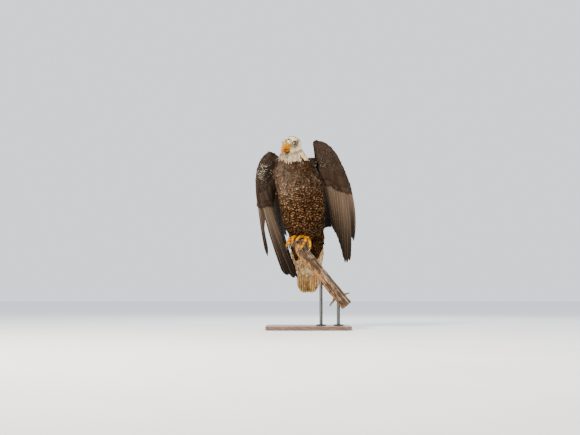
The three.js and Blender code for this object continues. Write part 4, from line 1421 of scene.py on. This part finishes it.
def make_great_coverts(name, wing):
    """The rows of long coverts over the roots of the flight feathers, on both sides of a wing."""
    # Row: side, length, how far it passes the edge of the covered part, height over the section.
    rows = [
        ("under", 0.066, 0.011, 0.0006),
        ("under", 0.052, -0.016, 0.0018),
        ("upper", 0.070, 0.012, 0.0006),
        ("upper", 0.052, -0.018, 0.0018),
    ]
    vanes = Vanes(FEATHERS * len(rows))
    for side, long, beyond, lift in rows:
        sign = 1 if side == "under" else -1
        for feather in range(FEATHERS):
            spare = rng.normal(0, 0.0025)
            tilt = rng.normal(0, 0.0006)

            def point(share, row, height, feather=feather, spare=spare, tilt=tilt):
                u = np.clip(feather + share, 0, FEATHERS)
                covert = wing.line(u)[4]
                across = (share - 0.5) / 0.75
                end = covert + beyond + spare - 0.014 * np.abs(across) ** 2.6
                distance = end - long * (1 - row)
                deep = wing.depth(u, np.minimum(distance, covert), side)
                rise = lift + 0.0012 * row + tilt * across + 0.0012 * (1 - across**2)
                return wing.point(u, distance, sign * (deep - 0.0006 + rise) + sign * height)

            sheet = vane_sheet(point, COVERT_ROWS, COVERT_ACROSS, 0.0004, 0.5, 0.0008)
            chance = rng.random()
            if side == "under":
                shade = blend(DEEP_BROWN * 1.5, GREY_BROWN, 0.15 + 0.35 * chance)
                edge = shade * 0.7
            else:
                shade = blend(DEEP_BROWN * 1.3, GREY_BROWN, 0.10 + 0.30 * chance)
                edge = blend(shade * 1.3, PALE_TAN, 0.02 + 0.10 * chance)
            vanes.lay(sheet, shade=shade, edge=edge)
    vanes.piece(f"wing_{name}_great_coverts", "brown_plumage", COVERT_BROWN)


def streaks_along(f, across, along, wide=5.0, long=2.2):
    """Soft streaks down a vane, different on each feather."""
    scaled = ((across, wide), (along, long), (f.attribute("own"), 40.0))
    spot = f.node("ShaderNodeCombineXYZ", *(f.math("MULTIPLY", a, by) for a, by in scaled))
    return f.noise(spot.outputs[0], 1.0, 5.0)


def flight_finish():
    """Long vanes: slanting barbs, paler towards the root, with a smooth shaft."""
    f = Finish("flight_feather", 0.65, Specular_IOR_Level=FEATHER_GLOSS)
    across, along = f.vane()
    shade = f.attribute("shade", "Color")
    streaks = streaks_along(f, across, along)
    pale = f.math("MULTIPLY", f.step(along, 0.70, 0.12), f.attribute("pale"))
    pale = f.math("MULTIPLY", pale, f.step(streaks, 0.2, 0.65, 0.45, 1.0))
    inner = f.step(across, 0.75, -0.2)
    pale = f.math("MULTIPLY", pale, f.math("MULTIPLY_ADD", inner, 0.45, 0.55))
    shade = f.mix(pale, shade, VANE_ROOT)
    shade = f.dim(shade, f.step(along, 0.40, 0.95, 1.0, 0.32))
    shade = f.dim(shade, f.step(streaks, 0.28, 0.72, 0.55, 1.4))
    reach = f.math("MULTIPLY", across, across)
    tip = f.step(along, 0.93, 1.0)
    rim = f.step(f.math("MAXIMUM", reach, f.math("MULTIPLY", tip, 0.9)), 0.8, 1.0)
    colour = f.mix(f.math("MULTIPLY", rim, 0.6), shade, f.attribute("edge", "Color"))
    wave = f.barbs(across, along, 40.0, 420.0)
    colour = f.dim(colour, f.math("MULTIPLY_ADD", wave, 0.07, 0.93))
    colour = f.mix(f.attribute("quill"), colour, QUILL)
    return f.paint(colour).relief(wave, 0.0003, 0.35).material


FLIGHT = flight_finish()
for name, wing in wings.items():
    make_flight_feathers(name, wing)
    make_great_coverts(name, wing)


# ---------------------------------------------------------------- tail


def tail_point(feather):
    """Places on one tail feather, from under its coverts to its tip."""
    axis = TAIL_TIP - TAIL_ROOT
    full = np.linalg.norm(axis)
    axis = axis / full
    across = unit(np.array((1.0, 0, 0)) - axis * axis[0])
    under = np.cross(axis, across)

    def point(share, row, height):
        """share crosses one feather from 0 to 1, and a little past its neighbours."""
        side = (feather + share) / TAIL_FEATHERS * 2 - 1
        middle = (feather + 0.5) / TAIL_FEATHERS * 2 - 1
        notch = TAIL_NOTCH * max(0.0, 1 - abs(middle) * 7)
        ends = full - TAIL_ROUNDING * np.clip(np.abs(side), 0, 1) ** 4 - notch
        ends = ends - 0.012 * np.abs(share - 0.5) ** 2.2
        t = TAIL_COVERED + (1 - TAIL_COVERED) * row
        side = np.clip(side, -1, 1)
        outer = -np.sign(middle) * (share - 0.5)
        lift = TAIL_DROOP * side**2 + 0.0034 * outer + 0.0009 * abs(middle)
        half = TAIL_HALF_ROOT + (TAIL_HALF_TIP - TAIL_HALF_ROOT) * np.minimum(t * 1.1, 1)
        return (
            TAIL_ROOT
            + axis * (t * ends)[..., None]
            + across * (side * half)[..., None]
            + under * (lift * np.minimum(t * 2, 1) + height)[..., None]
        )

    return point


def make_tail():
    """The tail feathers: pale above; below, painted warm light turns them buff, with darker streaks;
    brown marks near the tips.
    """
    vanes = Vanes(TAIL_FEATHERS)
    for feather in range(TAIL_FEATHERS):
        sheet = vane_sheet(tail_point(feather), FLIGHT_ROWS, TAIL_ACROSS, 0.0006, 0.5, 0.0016)
        shade = blend(CREAM, WHITE, 0.1 + 0.3 * rng.random())
        vanes.lay(sheet, shade=shade, edge=blend(shade, WHITE, 0.5))
    f = Finish("tail_feather", 0.65, Specular_IOR_Level=FEATHER_GLOSS)
    across, along = f.vane()
    shade = f.attribute("shade", "Color")
    streaks = streaks_along(f, across, along)
    # The under face is painted buff with darker streaks: warm light painted onto white feathers. The
    # upper face stays pale.
    lit_buff = f.mix(f.step(streaks, 0.36, 0.64), TAIL_WARM_LIT, TAIL_STREAK)
    shade = f.mix(f.math("MULTIPLY_ADD", f.attribute("face"), 0.7, 0.15), shade, lit_buff)
    marks = streaks_along(f, across, along, 2.6, 9.0)
    near_tip = f.math("MULTIPLY", f.step(along, 0.60, 0.80), f.step(along, 0.99, 0.94))
    marked = f.math("MULTIPLY", f.step(marks, 0.52, 0.60), near_tip)
    shade = f.mix(f.math("MULTIPLY", marked, 0.9), shade, MID_BROWN)
    # Darker along each feather's edges: painted shade between the feathers.
    rim = f.step(f.math("ABSOLUTE", across), 0.55, 0.95)
    shade = f.mix(f.math("MULTIPLY", rim, 0.9), shade, MID_BROWN * 1.6)
    # A golden rim at the very tips.
    shade = f.mix(f.step(along, 0.965, 1.0, 0.0, 0.8), shade, TAIL_TIP_GOLD)
    wave = f.barbs(across, along, 40.0, 360.0)
    colour = f.dim(shade, f.math("MULTIPLY_ADD", wave, 0.05, 0.95))
    colour = f.mix(f.attribute("quill"), colour, PALE_TAN * 0.8)
    f.paint(colour).relief(wave, 0.0003, 0.35)
    vanes.piece("tail_vanes", "tail_feathers", f.material, ["tail"])


make_tail()


# ---------------------------------------------------------------- bare skin


def make_skin_piece():
    """The one skin under the coat, in the coat's own colours."""
    skin.vertices.foreach_set("co", under_coat.astype(np.float32).ravel())
    while skin.uv_layers:
        skin.uv_layers.remove(skin.uv_layers[0])
    keep_values(skin, {"shade": rgba(skin_shade)})
    skin.update()
    f = Finish("down_and_skin", 0.85, Specular_IOR_Level=0.2)
    fluff = f.noise(f.place(), 300.0, 4.0)
    colour = f.dim(f.attribute("shade", "Color"), f.step(fluff, 0.2, 0.8, 0.7, 1.15))
    f.paint(colour).relief(fluff, 0.001, 0.6)
    add_piece("body_skin", skin, f.material, FLESH)


make_skin_piece()

# ---------------------------------------------------------------- bill, cere and eyes

HEAD_SIDE = head_turn @ np.array((1.0, 0, 0))


def head_stations(sections):
    """Sections of the head's own frame as stations of the whole's."""
    places = in_head(0.0, sections[:, 0], sections[:, 1])
    return np.hstack([places, sections[:, 2:]])


def make_bill():
    """The horn of both jaws, and the cere and corners of the mouth over them."""
    upper = head_stations(UPPER_BILL)
    lower = head_stations(LOWER_BILL)

    def tooth(t, angle):
        """The cutting edges draw in under a rounded ridge."""
        return 1 - 0.10 * np.clip(-np.sin(angle), 0, 1) ** 2 * smooth(0.1, 0.5, t)

    verts, faces, along, _ = loft(upper, 40, 60, HEAD_SIDE, (CERE_SHARE, 1.0), tooth, BILL_SQUARE)
    horn = Parts().form(verts, faces, along=along)
    horn.piece("upper_bill", "yellow_horn", HORN, ["bill_upper"])
    verts, faces, along, _ = loft(lower, 28, 36, HEAD_SIDE, square=BILL_SQUARE)
    # The lower jaw starts further along the colour ramp, so it is more orange and darker: painted
    # shade under the upper bill.
    horn = Parts().form(verts, faces, along=0.5 + 0.4 * along)
    horn.piece("lower_bill", "yellow_horn", HORN, ["bill_lower"])

    def swollen(t, angle):
        """The cere stands a little over the horn and ends in a rounded lip."""
        lip = 0.05 * np.exp(-(((t - CERE_SHARE + 0.03) / 0.03) ** 2))
        end = smooth(CERE_SHARE - CERE_LAP, CERE_SHARE + CERE_LAP, t)
        return tooth(t, angle) * (1.035 + lip - 0.09 * end)

    parts = Parts()
    covered = (0.0, CERE_SHARE + CERE_LAP)
    verts, faces, _, _ = loft(upper, 40, 40, HEAD_SIDE, covered, swollen, BILL_SQUARE)
    dark = np.zeros(len(verts))
    for s in (1, -1):
        spot = in_head(s * NOSTRIL[0], NOSTRIL[1], NOSTRIL[2])
        offset = (verts - spot) @ head_turn
        slit = np.hypot(offset[:, 1] / 0.0022, offset[:, 2] / 0.0052) + np.abs(offset[:, 0]) / 0.012
        pit = smooth(1.3, 0.3, slit)
        verts = verts - (HEAD_SIDE * s * 0.0022) * pit[:, None]
        # The slit is painted near black over a shallow pit: painted shade of the nostril's opening.
        dark = np.maximum(dark, smooth(1.15, 0.55, slit))
    parts.form(verts, faces, dark=dark, orange=0.0)
    for s in (1, -1):
        path = in_head(*(np.stack([GAPE_FROM, (GAPE_FROM + GAPE_TO) / 2, GAPE_TO]) * (s, 1, 1)).T)
        radii = np.array([0.9, 1.0, 0.75])[:, None] * GAPE_RADIUS
        verts, faces, _, _ = loft(np.hstack([path, radii]), 12, 14, (0, 0, 1))
        parts.form(verts, faces, dark=0.0, orange=1.0)
    parts.piece("cere_and_gape", "yellow_horn", CERE, ["cere"])


def bill_finish():
    f = Finish("bill_horn", 0.42, Specular_IOR_Level=0.12, Coat_Weight=0.04, Coat_Roughness=0.2)
    along = f.attribute("along")
    cloudy = f.noise(f.stretched((160, 160, 60)), 1.0, 4.0)
    colour = f.mix(f.step(along, 0.30, 0.85), BILL_YELLOW, BILL_ORANGE)
    colour = f.mix(f.step(cloudy, 0.45, 0.8, 0.0, 0.5), colour, BILL_CLOUD)
    colour = f.mix(f.step(along, 0.93, 1.0, 0.0, 0.5), colour, BILL_TIP)
    return f.paint(colour).relief(cloudy, 0.0006, 0.25).material


def cere_finish():
    f = Finish("cere_skin", 0.5, Specular_IOR_Level=0.15, Subsurface_Weight=0.05)
    f.shader.inputs["Subsurface Radius"].default_value = (0.004, 0.002, 0.001)
    waxy = f.noise(f.place(), 420.0, 3.0)
    colour = f.mix(f.step(waxy, 0.3, 0.75), CERE_YELLOW, CERE_DEEP)
    colour = f.mix(f.math("MULTIPLY", f.attribute("orange"), 0.6), colour, GAPE_ORANGE)
    # Nostrils painted near black: painted shade of the opening.
    colour = f.mix(f.attribute("dark"), colour, NOSTRIL_DARK)
    return f.paint(colour).relief(waxy, 0.0005, 0.3).material


HORN, CERE = bill_finish(), cere_finish()
make_bill()


def ball(centre, axis, radius, angles, sides=40):
    """A closed ball ringed about an axis. angles run from the axis. Also gives each angle."""
    axis = unit(np.asarray(axis, float))
    first = unit(np.cross(axis, (0.0, 0.0, 1.0)))
    second = np.cross(axis, first)
    turn = np.arange(sides) / sides * 2 * math.pi
    ring = np.cos(turn)[:, None] * first + np.sin(turn)[:, None] * second
    rings = [centre + radius * (math.cos(a) * axis + math.sin(a) * ring) for a in angles]
    verts = np.vstack([*rings, centre + radius * axis, centre - radius * axis])
    places = np.append(np.repeat(angles, sides), [0, math.pi])
    return verts, tube_faces(len(angles), sides), places


def make_eye(name, s):
    """An eye set deep under its brow, its lids, and the bare ledge over it."""
    centre = in_head(s * SET_EYE[0], SET_EYE[1], SET_EYE[2])
    radius = SET_EYE[3]
    gaze = unit(head_turn @ (GAZE * (s, -1, 1)))
    angles = np.concatenate([np.linspace(0.04, 1.1, 28), np.linspace(1.2, 3.05, 14)])
    verts, faces, angle = ball(centre, gaze, radius, angles)
    cornea = smooth(IRIS_ANGLE + 0.05, 0.2, angle) * 0.0006
    verts = verts + gaze * cornea[:, None]
    Parts().form(verts, faces, angle=angle).piece(f"{name}_ball", "eye", EYE_FINISH, [name])
    # The lids run from the opening out to the edge of the socket, low and flat at the front.
    up = unit(head_turn @ np.array((0.0, 0, 1.0)))
    across = unit(np.cross(up, gaze)) * s
    upright = unit(up - gaze * (up @ gaze))
    turn = np.linspace(0, 2 * math.pi, 48, endpoint=False)
    tilted = turn - LID_TILT
    high = np.where(np.sin(tilted) > 0, 0.60, 0.86)
    opening = LID_ANGLE * np.hypot(np.cos(tilted), high * np.sin(tilted))
    heading = np.cos(turn)[:, None] * across + np.sin(turn)[:, None] * upright
    rings = []
    for wider, out in LID_SECTION:
        angle = (opening + wider)[:, None]
        rings.append(centre + (radius + out) * (np.cos(angle) * gaze + np.sin(angle) * heading))
    verts = np.stack(rings, axis=1).reshape(-1, 3)
    n, k = len(turn), len(rings)
    faces = []
    for i in range(n):
        for j in range(k):
            a, b = i * k + j, i * k + (j + 1) % k
            c, d = (i + 1) % n * k + (j + 1) % k, (i + 1) % n * k + j
            faces.append((a, b, c, d))
    lids = Parts().form(verts, faces)
    path = in_head(*(BROW_LINE[:, :3] * (s, 1, 1)).T)
    verts, faces, _, _ = loft(np.hstack([path, BROW_LINE[:, 3:]]), 16, 26, up)
    lids.form(verts, faces)
    lids.piece(f"{name}_lids", "white_plumage", LID_FINISH)


def eye_finish():
    f = Finish("eye", 0.3, Specular_IOR_Level=0.2, Coat_Weight=0.15, Coat_Roughness=0.05)
    angle = f.attribute("angle")
    fibres = f.noise(f.stretched((900, 900, 900)), 1.0, 3.0)
    iris = f.mix(f.step(fibres, 0.3, 0.75), IRIS_PALE, IRIS_DEEP)
    iris = f.mix(f.step(angle, IRIS_ANGLE - 0.12, IRIS_ANGLE), iris, IRIS_RIM)
    colour = f.mix(f.step(angle, PUPIL_ANGLE, PUPIL_ANGLE + 0.04), PUPIL_BLACK, iris)
    # Past the iris the ball is painted near black: painted shade in the socket under the lids.
    colour = f.mix(f.step(angle, IRIS_ANGLE + 0.02, IRIS_ANGLE + 0.06), colour, SOCKET_DARK)
    return f.paint(colour).material


def lid_finish():
    f = Finish("eyelid_skin", 0.6, Specular_IOR_Level=0.08)
    fine = f.noise(f.place(), 900.0, 3.0)
    # Dark grey: the bare skin's own dark, with the shade under the brow painted in.
    f.paint(f.mix(f.step(fine, 0.3, 0.7), LID_GREY, LID_DARK))
    return f.relief(fine, 0.0004, 0.5).material


EYE_FINISH, LID_FINISH = eye_finish(), lid_finish()
make_eye("eye_left", 1)
make_eye("eye_right", -1)

# ---------------------------------------------------------------- feet


def path_stations(points, radii):
    """Points with a radius each, the radii spread evenly along them."""
    at = np.linspace(0, len(radii) - 1, len(points))
    return np.hstack([points, np.interp(at, np.arange(len(radii)), radii)[:, None]])


def make_foot(name, leg):
    """The toes, pad and bare shank of a foot as one piece, and its claws as another."""
    parts = Parts()
    for path in leg["toes"].values():
        length = np.linalg.norm(np.diff(path, axis=0), axis=1).sum()
        plates = round(length / PLATE_LENGTH)

        def scuted(t, angle, plates=plates):
            """Overlapping plates ring the toe, and pads swell under its joints."""
            saw = (t * plates) % 1.0
            under = 0.5 + 0.5 * np.cos(angle - math.pi)
            knuckle = np.sin(t * 2.6 * math.pi + 0.5) ** 2
            return 0.93 + 0.13 * (saw**1.5 - 0.4) + 0.14 * knuckle + 0.07 * under * knuckle

        stations = path_stations(path, TOE_RADII)
        verts, faces, t, _ = loft(stations, 16, plates * 4, FOOT_SIDE, swell=scuted)
        parts.form(verts, faces, plate=(t * plates) % 1.0)
    angles = np.linspace(0.15, math.pi - 0.15, 18)
    verts, faces, _ = ball(np.zeros(3), (0, 0, 1), 1.0, angles, 24)
    parts.form(verts * PAD_SIZE + leg["pad"], faces, plate=0.5)
    shank = path_stations(leg["shank"], [SHANK_RADIUS * 1.1, SHANK_RADIUS, SHANK_RADIUS])
    ridged = lambda t, _: 1 + 0.05 * ((t * SHANK_PLATES) % 1.0 - 0.5)
    verts, faces, t, _ = loft(shank, 18, 44, FOOT_SIDE, swell=ridged)
    parts.form(verts, faces, plate=(t * SHANK_PLATES) % 1.0)
    under = [f"leg_{name}_foot", f"leg_{name}_shank"]
    parts.piece(f"foot_{name}", "yellow_skin", TOE_SKIN, under)
    claws = Parts()
    flattened = lambda _, angle: 1 - 0.12 * np.clip(np.sin(angle), 0, 1)
    for toe in CLAW_TOES:
        stations = path_stations(leg["claws"][toe], CLAW_RADII)
        verts, faces, t, _ = loft(stations, 16, 24, FOOT_SIDE, swell=flattened)
        claws.form(verts, faces, along=t)
    claws.piece(f"claws_{name}", "claw", CLAW, [f"leg_{name}_claw_{toe}" for toe in CLAW_TOES])


def toe_finish():
    f = Finish("toe_skin", 0.5, Specular_IOR_Level=0.1)
    plate = f.attribute("plate")
    # Patchy yellow to dark orange: partly the skin's own tone, partly painted highlights and shade.
    mottled = f.noise(f.place(), 110.0, 4.0)
    colour = f.mix(f.step(mottled, 0.38, 0.62), TOE_YELLOW, TOE_ORANGE)
    # Darker seams between the plates: their own dark joints, with painted shade in the creases.
    seam = f.math("MAXIMUM", f.step(plate, 0.22, 0.0), f.step(plate, 0.90, 1.0))
    colour = f.mix(f.math("MULTIPLY", seam, 0.85), colour, TOE_SEAM)
    cells = f.node("ShaderNodeTexVoronoi", f.place(), feature="DISTANCE_TO_EDGE")
    cells.inputs["Scale"].default_value = 480.0
    return f.paint(colour).relief(f.step(cells.outputs[0], 0.0, 0.12), 0.0003, 0.2).material


def claw_finish():
    f = Finish("claw_horn", 0.22, Coat_Weight=0.4, Coat_Roughness=0.12)
    streak = f.noise(f.stretched((220, 220, 60)), 1.0, 3.0)
    colour = f.mix(f.step(streak, 0.35, 0.75), CLAW_BLACK, CLAW_GREY)
    colour = f.mix(f.step(f.attribute("along"), 0.12, 0.0), colour, CLAW_ROOT)
    return f.paint(colour).relief(streak, 0.0004, 0.2).material


TOE_SKIN, CLAW = toe_finish(), claw_finish()
for name, leg in LEGS.items():
    make_foot(name, leg)

# ---------------------------------------------------------------- branch


def bark_height(turn, distance, radius):
    """How far the bark lies below its highest plates, from 0 to 1."""
    x, y = radius * np.cos(turn), radius * np.sin(turn)
    long = stacked(x, y, distance * 0.16 + 0.004 * np.sin(distance * 60))
    furrows = np.abs(2 * layered_noise(long, 0.016, 3, 3) - 1)
    cracks = np.abs(2 * layered_noise(stacked(x, y, distance * 0.45), 0.018, 9, 2) - 1)
    return np.clip(smooth(0.34, 0.0, furrows) + smooth(0.16, 0.0, cracks) * 0.6, 0, 1)


def peeled_at(turn, distance):
    """Where the bark is gone along the lower side and the wood shows, from 0 to 1."""
    edge = layered_noise(stacked(turn * 0.03, distance, 0.0), 0.026, 21)
    off = np.abs(np.angle(np.exp(1j * (turn - PEELED_TURN)))) + (edge - 0.5) * 1.9
    fade = np.interp(distance, (0.0, 0.03, 0.2, 0.3, 0.45), (0.0, 1.0, 0.8, 0.35, 0.2))
    return smooth(0.48, 0.30, off / np.maximum(fade, 0.01)) * (fade > 0.01)


def make_branch():
    """The branch with its bark, broken top, sawn end, knot and twigs."""
    verts, _, _, _ = loft(BRANCH, BARK_SIDES, BARK_RINGS, (0, 1, 0))
    rings = verts[: BARK_RINGS * BARK_SIDES].reshape(BARK_RINGS, BARK_SIDES, 3)
    centre = rings.mean(axis=1)
    ring = rings - centre[:, None]
    distance = np.append(0, np.cumsum(np.linalg.norm(np.diff(centre, axis=0), axis=1)))[:, None]
    turn = np.arange(BARK_SIDES) / BARK_SIDES * 2 * math.pi
    height = bark_height(turn, distance, BARK_RADIUS)
    peeled = peeled_at(turn, distance)
    bumps = layered_noise(centre[:, None] + ring, 0.06, 5, 3)
    radius = np.linalg.norm(ring, axis=-1)
    sink = 0.0045 * height * (1 - peeled) + 0.0035 * peeled + 0.004 * (1 - bumps)
    rows = centre[:, None] + ring * (1 - sink / radius)[..., None]
    # At each point: crack, peeled, cut and place in the heart.
    marks = [stacked(height, peeled, 0.0, radius)]
    # The broken top: splinters that stand up round a hollow heart.
    axis = unit(centre[0] - centre[1])
    caps = []
    for k in TOP_RINGS:
        spot = (rows[0] - centre[0]) * k
        splinter = layered_noise(spot * (1, 1, 0) + (turn[:, None] * 0.004), 0.007, 31, 2)
        rise = 0.010 * (splinter - 0.45) - 0.006 * (1 - k)
        caps.insert(0, centre[0] + spot + axis * rise[:, None])
        marks.insert(0, stacked(splinter, 1.0, 1.0, k)[None])
    ends = [centre[-1] + (rows[-1] - centre[-1]) * k for k in CUT_RINGS]
    marks += [stacked(0 * turn, 0.0, 1.0, k)[None] for k in CUT_RINGS]
    every = np.concatenate([np.array(caps), rows, np.array(ends)])
    verts = np.vstack([every.reshape(-1, 3), every[0].mean(axis=0), every[-1].mean(axis=0)])
    marks = np.concatenate(marks).reshape(-1, 4)
    crack, peeled, cut, heart = np.vstack([marks, marks[0], marks[-1]]).T
    grain = stacked(GRAIN_RADIUS * np.cos(turn), GRAIN_RADIUS * np.sin(turn), distance)
    grain = [grain[:1].repeat(len(caps), 0), grain, grain[-1:].repeat(len(ends), 0)]
    grain = np.concatenate(grain).reshape(-1, 3)
    grain = np.vstack([grain, grain[0], grain[-1]])
    faces = tube_faces(len(every), BARK_SIDES)
    parts = Parts()
    parts.form(verts, faces, crack=crack, peeled=peeled, cut=cut, heart=heart, grain=grain)
    whole = {"peeled": 0.0, "cut": 0.0, "heart": 0.5}
    # The knot, with the swirled grain of an old side branch.
    angles = np.linspace(0.04, math.pi - 0.04, 46)
    verts, faces, _ = ball(np.zeros(3), (-0.9, -0.3, 0.3), 1.0, angles, 60)
    swirl = layered_noise(verts * KNOT_SIZE, 0.011, 41, 3)
    verts = verts * KNOT_SIZE * (0.99 - 0.16 * smooth(0.35, 0.7, swirl)[:, None]) + KNOT_AT
    parts.form(verts, faces, crack=smooth(0.4, 0.65, swirl), grain=verts, **whole)
    # Two stubs of twigs, a little bent and knobbed.
    knobs = lambda t, angle: 1 + 0.12 * np.sin(angle * 3 + t * 9) + 0.15 * smooth(0.85, 1, t)
    for start, end, thick in TWIGS:
        path = np.linspace(start, end, 4)
        path[1:3] += np.array([(0.001, -0.002, 0.002), (-0.001, 0.001, 0.001)])
        stations = np.hstack([path, thick * np.array([[1.5], [1.0], [0.9], [0.7]])])
        verts, faces, _, _ = loft(stations, 18, 26, (0, 1, 0), swell=knobs)
        parts.form(verts, faces, crack=0.3, grain=verts, **whole)
    parts.piece("perch_branch", "bark", BARK, ["branch"])


def bark_finish():
    f = Finish("bark", 0.85, Specular_IOR_Level=0.1)
    run = f.attribute("grain", "Vector")

    def noise_along(across, along, detail=4.0):
        return f.noise(f.stretched((across, across, along), run), 1.0, detail)

    patch = noise_along(40, 18)
    fibres = noise_along(300, 34, 5.0)
    ridged = f.math("ABSOLUTE", f.math("MULTIPLY_ADD", noise_along(150, 26, 3.0), 2.0, -1.0))
    bark = f.mix(f.step(patch, 0.3, 0.7), BARK_BROWN, BARK_GREY)
    bark = f.dim(bark, f.step(fibres, 0.28, 0.72, 0.38, 1.5))
    # Furrows and cracks darkened: their own darker bark, with painted shade in the hollows.
    bark = f.mix(f.step(ridged, 0.16, 0.0, 0.0, 0.8), bark, BARK_FURROW)
    bark = f.mix(f.step(f.attribute("crack"), 0.1, 0.8, 0.0, 0.8), bark, BARK_CRACK)
    wood = f.mix(f.step(fibres, 0.3, 0.7), WOOD_DARK, WOOD_PALE)
    wood = f.mix(f.step(patch, 0.35, 0.65, 0.0, 0.5), wood, WOOD_GREY)
    colour = f.mix(f.attribute("peeled"), bark, wood)
    wander = f.math("MULTIPLY", patch, 9.0)
    rings = f.math("SINE", f.math("MULTIPLY_ADD", f.attribute("heart"), 70.0, wander))
    sawn = f.mix(f.step(rings, -0.6, 0.9), SAWN_DARK, SAWN_PALE)
    colour = f.mix(f.attribute("cut"), colour, sawn)
    height = f.math("MULTIPLY_ADD", fibres, 0.5, f.step(ridged, 0.0, 0.3))
    return f.paint(colour).relief(height, 0.002, 0.8).material


BARK = bark_finish()
make_branch()

# ---------------------------------------------------------------- stand


def revolved(profile, sides=56):
    """A closed turned form from its (radius, height) profile."""
    turn = np.arange(sides) / sides * 2 * math.pi
    rings = [stacked(r * np.cos(turn), r * np.sin(turn), z) for r, z in profile]
    verts = np.vstack([*rings, (0, 0, profile[0][1]), (0, 0, profile[-1][1])])
    return verts, tube_faces(len(profile), sides)


def make_base():
    """A board with round corners and rounded edges."""
    turn = np.linspace(0, math.pi / 2, 15)
    quarter = np.stack([np.cos(turn), np.sin(turn)], axis=1)
    bend = np.linspace(0, math.pi / 2, 7)
    # How far each ring is drawn in, and its height.
    lower = [(BASE_EDGE - BASE_EDGE * math.sin(b), BASE_EDGE * (1 - math.cos(b))) for b in bend]
    upper = [(inset, BASE_THICK - z) for inset, z in lower[::-1]]
    rings = []
    for inset, z in lower + upper:
        for sx, sy in ((1, 1), (-1, 1), (-1, -1), (1, -1)):
            middle = (sx * (BASE_WIDTH / 2 - BASE_CORNER), sy * (BASE_DEEP / 2 - BASE_CORNER))
            arc = np.array(middle) + quarter[:: sx * sy] * (sx, sy) * (BASE_CORNER - inset)
            rings.append(stacked(arc[:, 0], arc[:, 1], z))
    verts = np.vstack([*rings, (0, 0, 0), (0, 0, BASE_THICK)])
    faces = tube_faces(len(lower + upper), 4 * len(turn))
    mesh = mesh_of("display_base", verts, outward_faces(verts, faces))
    for face in mesh.polygons:
        face.use_smooth = abs(face.normal.z) < 0.999
    add_piece("display_base", mesh, WALNUT, ["stand_base"])


def make_rods():
    """Upright rods, each with a flange on the base and its end inside the branch."""
    r, R, h = ROD_RADIUS, FLANGE_RADIUS, FLANGE_HEIGHT
    flange = [(R - 0.0004, 0.0), (R, 0.0004), (R, h - 0.0016), (R - 0.0006, h - 0.0006)]
    flange += [(R - 0.0018, h), (r + 0.004, h), (r + 0.0016, h + 0.0010), (r, h + 0.0036)]
    for name, (x, y) in RODS.items():
        top = np.interp(x, BRANCH[2:, 0], BRANCH[2:, 2]) - BASE_THICK - ROD_END
        verts, faces = revolved([*flange, (r, top - 0.001), (r - 0.001, top)])
        rod = Parts().form(verts + (x, y, BASE_THICK + ROD_CLEAR), faces)
        rod.piece(f"display_rod_{name}", "rod_steel", STEEL, [f"stand_rod_{name}"])


def walnut_finish():
    f = Finish("walnut", 0.38, Coat_Weight=0.35, Coat_Roughness=0.18)
    bend = f.noise(f.stretched((3.2, 9, 9)), 1.0, 3.0)
    rings = f.math("SINE", f.math("MULTIPLY", bend, 95.0))
    pores = f.noise(f.stretched((40, 900, 900)), 1.0, 3.0)
    wood = f.mix(f.step(rings, -1.0, 1.0), WALNUT_DARK, WALNUT_PALE)
    wood = f.mix(f.step(pores, 0.52, 0.66, 0.0, 0.65), wood, WALNUT_PORE)
    return f.paint(wood).relief(pores, 0.0002, 0.25).material


def steel_finish():
    f = Finish("blackened_steel", 0.42, Metallic=0.85)
    cloud = f.noise(f.place(), 90.0, 4.0)
    f.paint(f.mix(f.step(cloud, 0.3, 0.7), STEEL_DARK, STEEL_PALE))
    return f.rough(f.step(cloud, 0.25, 0.75, 0.34, 0.52)).material


WALNUT, STEEL = walnut_finish(), steel_finish()
make_base()
make_rods()

# ---------------------------------------------------------------- studio


LAMPS = {  # place, size, power, colour
    "key": ((-1.7, -3.0, 2.6), 0.9, 350, (1.0, 0.87, 0.68)),
    "fill": ((2.6, -2.4, 1.0), 2.4, 36, (1.0, 0.93, 0.84)),
    "back": ((0.6, 2.6, 2.8), 1.8, 60, (0.97, 0.98, 1.0)),
}
LAMPS_AT = Vector((-0.05, 0, 0.6))  # what the lamps point at
SKY, SKY_STRENGTH = (0.90, 0.94, 1.0, 1), 1.4
FLOOR_HALF = 60
FLOOR_PALE, FLOOR_GREY = (0.84, 0.86, 0.89), (0.80, 0.82, 0.85)
CAMERA_AT, CAMERA_TILT = (-0.09, -4.52, 0.15), math.radians(95.168)
CAMERA_SENSOR, CAMERA_LENS, CAMERA_FAR = 36, 56.1, 200


def make_studio():
    """A pale floor, an even sky, three soft lamps and the camera."""
    round_about = ((-1, -1), (1, -1), (1, 1), (-1, 1))
    corners = [(sx * FLOOR_HALF, sy * FLOOR_HALF, 0) for sx, sy in round_about]
    floor = add_object("studio_floor", mesh_of("studio_floor", corners, [(0, 1, 2, 3)]))
    floor.location.z = solid_box[0].z
    f = Finish("studio_floor", 0.9, Specular_IOR_Level=0.1)
    f.paint(f.mix(f.step(f.noise(f.place(), 2.0), 0.3, 0.7), FLOOR_GREY, FLOOR_PALE))
    floor.data.materials.append(f.material)
    world = bpy.data.worlds.new("studio")
    world.use_nodes = True
    sky = world.node_tree.nodes["Background"]
    sky.inputs["Color"].default_value = SKY
    sky.inputs["Strength"].default_value = SKY_STRENGTH
    bpy.context.scene.world = world
    for name, (place, size, power, colour) in LAMPS.items():
        lamp = bpy.data.lights.new(name, "AREA")
        lamp.shape, lamp.size, lamp.energy, lamp.color = "DISK", size, power, colour
        made = add_object(name, lamp)
        made.location = place
        made.rotation_euler = (LAMPS_AT - made.location).to_track_quat("-Z", "Y").to_euler()
    camera = bpy.data.cameras.new("camera")
    camera.sensor_width, camera.lens, camera.clip_end = CAMERA_SENSOR, CAMERA_LENS, CAMERA_FAR
    view = add_object("camera", camera)
    view.location = CAMERA_AT
    view.rotation_euler = (CAMERA_TILT, 0, 0)
    bpy.context.scene.camera = view


make_studio()
